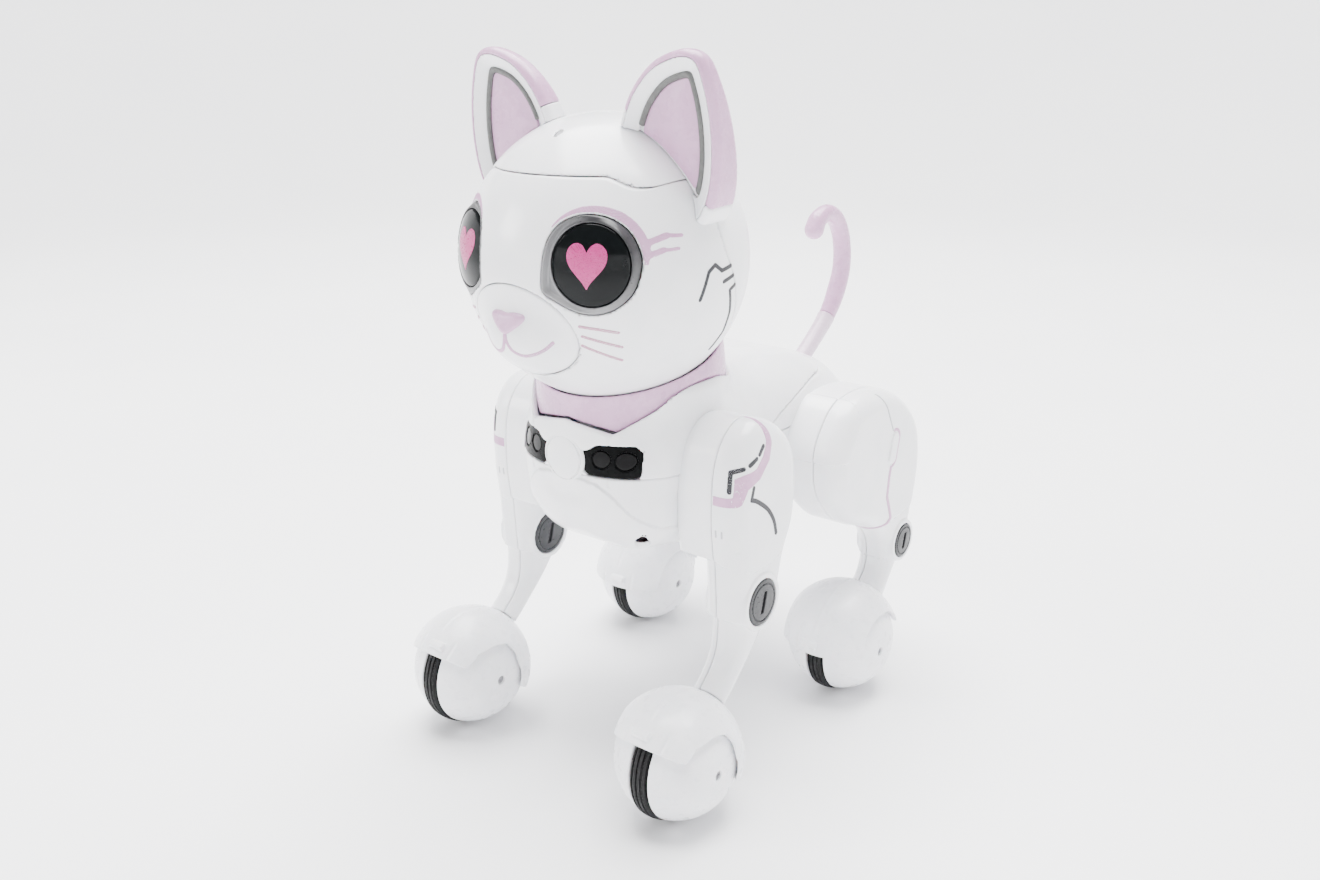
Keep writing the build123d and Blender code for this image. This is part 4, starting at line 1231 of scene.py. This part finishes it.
def coverField(p, name):
    x, y, z = footLocal(p, name)
    q = p - wheels[name]
    r = span(q)
    wide = np.abs(x)
    outerSkin = both(r - leg["coverRadius"], wide - foot["coverHalf"], 2.5)
    # toe creases and the seam down the middle of the cap
    crease = np.abs(wide - 8.2 - 0.10 * (z - 12))
    length = smoothStep((z - 8) / 3) * smoothStep((23.5 - 0.3 * (y + 20) - z) / 4) * (y < -4)
    outerSkin = outerSkin + 0.5 * length * np.exp(-(crease / 0.75) ** 2)
    outerSkin = outerSkin + 0.35 * smoothStep((y + 17) / 4) * np.exp(-(wide / 0.8) ** 2)
    d = np.maximum(outerSkin, foot["coverInner"] - r)
    d = np.maximum(d, -np.maximum(wide - foot["slot"], np.hypot(y, z) - foot["wheelGap"]))
    edge = 0.822 * (-z - 0.69 * y - 0.66)
    d = both(d, edge, 0.9)
    if name.startswith("front"):
        side = np.maximum(notchOutline(y, z), 14.5 - wide)
    else:
        side = np.maximum(np.minimum(np.hypot(y, z) - 17.4, np.maximum(-y - z - 6, z + 2)),
                          14.5 - wide)
    d = cut(d, side, 0.9)
    d = both(d, -(z + 0.95 * y + 18) * 0.7, 0.9)
    # the little latch pad above the middle toe
    pad = blockField(np.stack([x + 1.6, y * 0.87 + z * 0.5 + 7.9, z * 0.87 - y * 0.5 - 26.0], -1),
                     (0, 0, 0), (4.3, 1.7, 2.4), 1.1)
    return join(d, pad, 0.7)


def tyreField(p, name):
    q = p - wheels[name]
    r = np.hypot(q[..., 1], q[..., 2])
    wide = np.abs(q[..., 0])
    crown = wheelRadius - 0.02 * wide * wide
    d = both(both(r - crown, wide - 3.7, 1.6), 21.0 - r, 0.3)
    for at in (0.0, 2.1):
        d = np.maximum(d, -np.maximum(np.abs(wide - at) - 0.28, wheelRadius - 0.75 - r))
    return d


for name in legNames:
    middle = wheels[name]
    reach = np.array([26.5, 29.5, 30.0])
    for part, outward in (("outer", 1), ("inner", -1)):
        shape("%s_ball_%s" % (name, part), lambda p: footHalf(p, name, outward), middle - reach,
              middle + reach, foot["cell"], satinAbs, name + "_leg", "white_shell",
              "%s_foot_%s" % (name, part))
        shape("%s_plug_%s" % (name, part), lambda p: plugField(p, name, outward),
              middle - np.array([24, 6, 6]), middle + np.array([24, 6, 6]), 0.3, plugAbs,
              name + "_leg", "grey_bezel")
    shape("%s_paw_cap" % name, lambda p: coverField(p, name), middle - reach, middle + reach, 0.52,
          satinAbs, name + "_leg", "white_shell", name + "_paw_cover")
    shape("%s_tread" % name, lambda p: tyreField(p, name), middle - np.array([5, 27, 26.5]),
          middle + np.array([5, 27, 26.5]), 0.5, tyreRubber, name + "_wheel", "tyre",
          name + "_tyre")
print("feet made")


# ------ the pieces inside keep their CAD shapes and get their own finishes
finishes = {"battery_pack": batteryWrap, "main_board": boardLaminate, "speaker": paperCone,
            "gear_motors": motorSteel, "torso_screws": screwSteel, "neck_spindle": satinAbs}
for name in legNames:
    finishes[name + "_wheel_hub"] = hubAcetal
for name, finish in finishes.items():
    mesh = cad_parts[name].data
    mesh.materials.clear()
    mesh.materials.append(finish)

# ------ printed lines and bands
def film(name, skin, region, low, high, material, body, slot, cell=0.3):
    # a closed skin-thin inlay of ink over a region of the moulding
    def field(p):
        return both(np.abs(skin(p) + 0.06) - 0.19, region(p), 0.15)
    return shape(name, field, low, high, cell, material, body, slot)


def trace(skin, points, pitch=1.2):
    # the points joined by short steps that all lie on the skin
    points = np.array(points, float)
    line = [points[0]]
    for start, end in zip(points[:-1], points[1:]):
        count = max(int(span(end - start) / pitch), 1)
        for i in range(1, count + 1):
            line.append(start + (end - start) * i / count)
    return onSkin(skin, line)


def mirrored(points, side):
    return [(side * x, y, z) for x, y, z in points]


def stripe(name, skin, line, side, width, ink, body, slot):
    return printed(name, skin, trace(skin, mirrored(line, side)), width, ink, body, slot)


whiskers = [[(27, -82, 202), (32.5, -77.8, 201), (38, -73, 199.4)],
            [(27, -80.6, 198), (32, -75.6, 196), (37, -70, 193.5)],
            [(26, -79.6, 194), (30.5, -74, 191), (35, -67.7, 187.6)]]
mouth = smoothLine([(0, -92, 198.2), (0.6, -92, 194.6), (2.6, -92, 191), (6.6, -91, 189),
                    (10.8, -90, 189.6), (14.4, -88, 191.8), (17.2, -86, 195)], 6)
sideMarks = {
    "arch": [(55, -46, 209.4), (56.4, -42.5, 219.5), (56.7, -39, 221.7), (57, -35, 219),
             (56.7, -29, 220)],
    "dash": [(57, -33.5, 214.6), (56.6, -27, 216)],
    "tail": [(56, -25, 212), (56.4, -28.6, 210.6), (53.6, -25, 201.6), (50, -24, 193),
             (46.6, -28, 186)],
}
for side, sideName in ((1, "left"), (-1, "right")):
    for number, line in enumerate(whiskers):
        stripe("whisker_%s_%d" % (sideName, number), faceSkin, line, side, 1.25, pinkInk, "head",
               "lavender_shell")
    stripe("mouth_" + sideName, faceSkin, mouth, side, 1.5, lavenderInk, "head", "lavender_shell")
    for key, line in sideMarks.items():
        stripe("cheek_%s_%s" % (key, sideName), headSkin, line, side, 1.7, greyInk, "head",
               "grey_bezel")

    def lidRegion(p):
        # the lid follows the top of the surround, widest outside, with two lashes
        a, b, deep = eyePlace(p, side)
        around = bezelOutline(a, b)
        turn = np.degrees(np.arctan2(b, a))
        wide = np.interp(turn, [-20, 5, 20, 60, 100, 140], [0.2, 1.6, 3.2, 3.0, 2.2, 0.4])
        band = np.maximum(np.abs(around - 0.9 - wide / 2) - wide / 2,
                          np.maximum(2 - turn, turn - 138) * 0.3)
        flat = np.stack([a, b, np.zeros_like(a)], -1)
        upper = rod(flat, (19.5, 8.5, 0), (25.0, 11.2, 0), 1.25)
        tip = rod(flat, (25.0, 11.2, 0), (29.5, 11.4, 0), 0.75)
        lower = rod(flat, (19.5, 3.8, 0), (24.5, 6.0, 0), 1.15)
        lowTip = rod(flat, (24.5, 6.0, 0), (29.0, 6.6, 0), 0.7)
        d = np.minimum(np.minimum(upper, tip), np.minimum(lower, lowTip))
        return np.maximum(join(band, d, 0.5), -22 - deep)

    across, up, out = eyeFrame(side)
    eyeMid = eyeSpot(side) + across * 4
    film("eye_lid_" + sideName, headSkin, lidRegion, eyeMid - 30, eyeMid + 30, lavenderInk,
         "head", "lavender_shell", 0.34)

shoulderBand = outlineField([(-47, 126.2), (-47, 129.9), (-38.2, 130.5), (-37.4, 138.4),
                             (-34.6, 139.6), (-27.5, 140.6), (-23.2, 144.8), (-21.2, 150),
                             (-20.9, 154.4), (-20.2, 158), (-18.6, 158.5), (-17.4, 154),
                             (-17.1, 149), (-18.3, 142), (-24.6, 135.6), (-32.6, 133.2),
                             (-35.4, 127.2), (-37.2, 126.4)], pitch=0.3, blur=2, curved=False)
shoulderLines = {
    "upper_dash": [(70, -25.6, 146.2), (70, -23.2, 149)],
    "middle_dash": [(69.5, -31.4, 143), (70, -27.6, 144.8)],
    "corner": [(65.0, -39.2, 133), (64.9, -38.4, 141), (68.6, -34.4, 142)],
}
elbowLine = smoothLine([(70, -30.5, 128.3), (70, -26.3, 126.4), (70, -18.8, 121), (70, -13.9, 114.6),
                        (70, -11.8, 108.3)], 5)


def mirrorSkin(skin):
    return lambda p: skin(leftSide(p))


for name in legNames:
    side = 1 if name.endswith("left") else -1
    body = name + "_leg"
    if name.startswith("front"):
        skin = mirrorSkin(frontLegSkin)
        for key, line in shoulderLines.items():
            stripe("%s_%s" % (name, key), skin, line, side, 2.0, greyInk, body, "dark_cap")
        stripe(name + "_elbow_line", skin, [(70, -29.2, 133)] + list(elbowLine), side, 2.0,
               greyInk, body, "dark_cap")
        stripe(name + "_shin_stripe", skin, [(66.5, -14.6, 69), (66.5, -20.8, 57)], side, 2.4,
               lavenderInk, body, "lavender_shell")
        for x in (59.4, 62.6):
            stripe("%s_tick_%d" % (name, x), skin, [(x, -42, 115.4), (x, -42, 112.6)], side, 0.8,
                   softGreyInk, body, "grey_bezel")
        low, high = sorted((side * (seamX + 0.4), side * (outerX + 2)))
        film(name + "_shoulder_band", skin, lambda p: np.maximum(
            shoulderBand(p[..., 1], p[..., 2]), seamX + 0.9 - side * p[..., 0]),
            (low, -48, 124), (high, -15, 160), lavenderInk, body, "lavender_shell")
    else:
        skin = mirrorSkin(rearLegSkin)
        hem = [(61, 76, 80.6), (66, 82, 78.6), (69.5, 87.5, 79), (70, 91, 82), (70, 88.6, 88),
               (70, 86, 94), (70, 87, 104), (70, 88, 108.4)]
        stripe(name + "_thigh_border", skin, hem, side, 2.2, lavenderInk, body, "lavender_shell")
        film(name + "_tab_border", skin, lambda p: np.maximum(
            np.abs(tabField(p[..., 1], p[..., 2]) - 1.4) - 0.8, 89.0 - p[..., 1]),
            (min(side * 62, side * 72), 84, 106), (max(side * 62, side * 72), 98, 130),
            lavenderInk, body, "lavender_shell")
        stripe(name + "_thigh_line", skin, [(66, 76, 147), (69.5, 81.5, 138.6), (70, 88.2, 126.8)],
               side, 0.9, softGreyInk, body, "grey_bezel")
        stripe(name + "_shank_stripe", skin, [(66, 110.5, 57), (66, 101, 46.5)], side, 2.2,
               lavenderInk, body, "lavender_shell")
print("prints made")

# ------ floor, light and camera
floorMaterial = glossPlastic("studio_sweep_matt_white_card", "#FBFBFC", "#F8F8FA", 0.85, 300.0, 2.0,
                             0.01)
sweep = {"flat": 1700.0, "bend": 900.0, "steps": 10, "sides": 96}
profile = [(0.001, 0.0), (sweep["flat"], 0.0)]
for i in range(1, sweep["steps"] + 1):
    turn = math.pi / 2 * i / sweep["steps"]
    profile.append((sweep["flat"] + sweep["bend"] * math.sin(turn),
                    sweep["bend"] * (1 - math.cos(turn))))
rounds = [(r * math.cos(2 * math.pi * i / sweep["sides"]),
           r * math.sin(2 * math.pi * i / sweep["sides"]), z)
          for r, z in profile for i in range(sweep["sides"])]
sides = sweep["sides"]
walls = [(k * sides + i, k * sides + (i + 1) % sides, (k + 1) * sides + (i + 1) % sides,
          (k + 1) * sides + i) for k in range(len(profile) - 1) for i in range(sides)]
floor = makeObject("studio_floor", rounds, walls, floorMaterial)
floor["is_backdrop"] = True

world = bpy.data.worlds.new("studio_surround")
world.use_nodes = True
world.node_tree.nodes["Background"].inputs["Color"].default_value = toLinear("#FDFDFF")
world.node_tree.nodes["Background"].inputs["Strength"].default_value = 0.42
bpy.context.scene.world = world


def softbox(name, place, target, size, power, colour="#FFFFFF"):
    data = bpy.data.lights.new(name, "AREA")
    data.shape = "RECTANGLE"
    data.size, data.size_y = size[0] * mm, size[1] * mm
    data.energy = power
    data.color = toLinear(colour)[:3]
    lamp = bpy.data.objects.new(name, data)
    place, target = Vector(place) * mm, Vector(target) * mm
    lamp.location = place
    lamp.rotation_euler = (target - place).to_track_quat("-Z", "Y").to_euler()
    bpy.context.scene.collection.objects.link(lamp)


aim = (0, 0, 130)
softbox("softbox_overhead", (-250, 420, 2200), aim, (2000, 2000), 260.0)
softbox("softbox_front_left", (-900, -950, 700), aim, (420, 420), 9.0)
softbox("softbox_right", (1100, -500, 420), aim, (300, 600), 2.0)

cameraData = bpy.data.cameras.new("photo_camera")
cameraData.lens = 32.93
cameraData.sensor_width = 36.0
cameraData.clip_start = 0.01
cameraData.clip_end = 40.0
camera = bpy.data.objects.new("photo_camera", cameraData)
eyeAt = Vector((315.9, -402.9, 303.2)) + Vector(workShift)
lookAt = Vector((0.0, 0.0, 130.9)) + Vector(workShift)
camera.location = eyeAt * mm
camera.rotation_euler = (lookAt - eyeAt).to_track_quat("-Z", "Y").to_euler()
bpy.context.scene.collection.objects.link(camera)
bpy.context.scene.camera = camera

low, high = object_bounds()
({"cad": [[float(v) for v in corner] for corner in cadBox],
           "visual": [[float(v) for v in low], [float(v) for v in high]]})
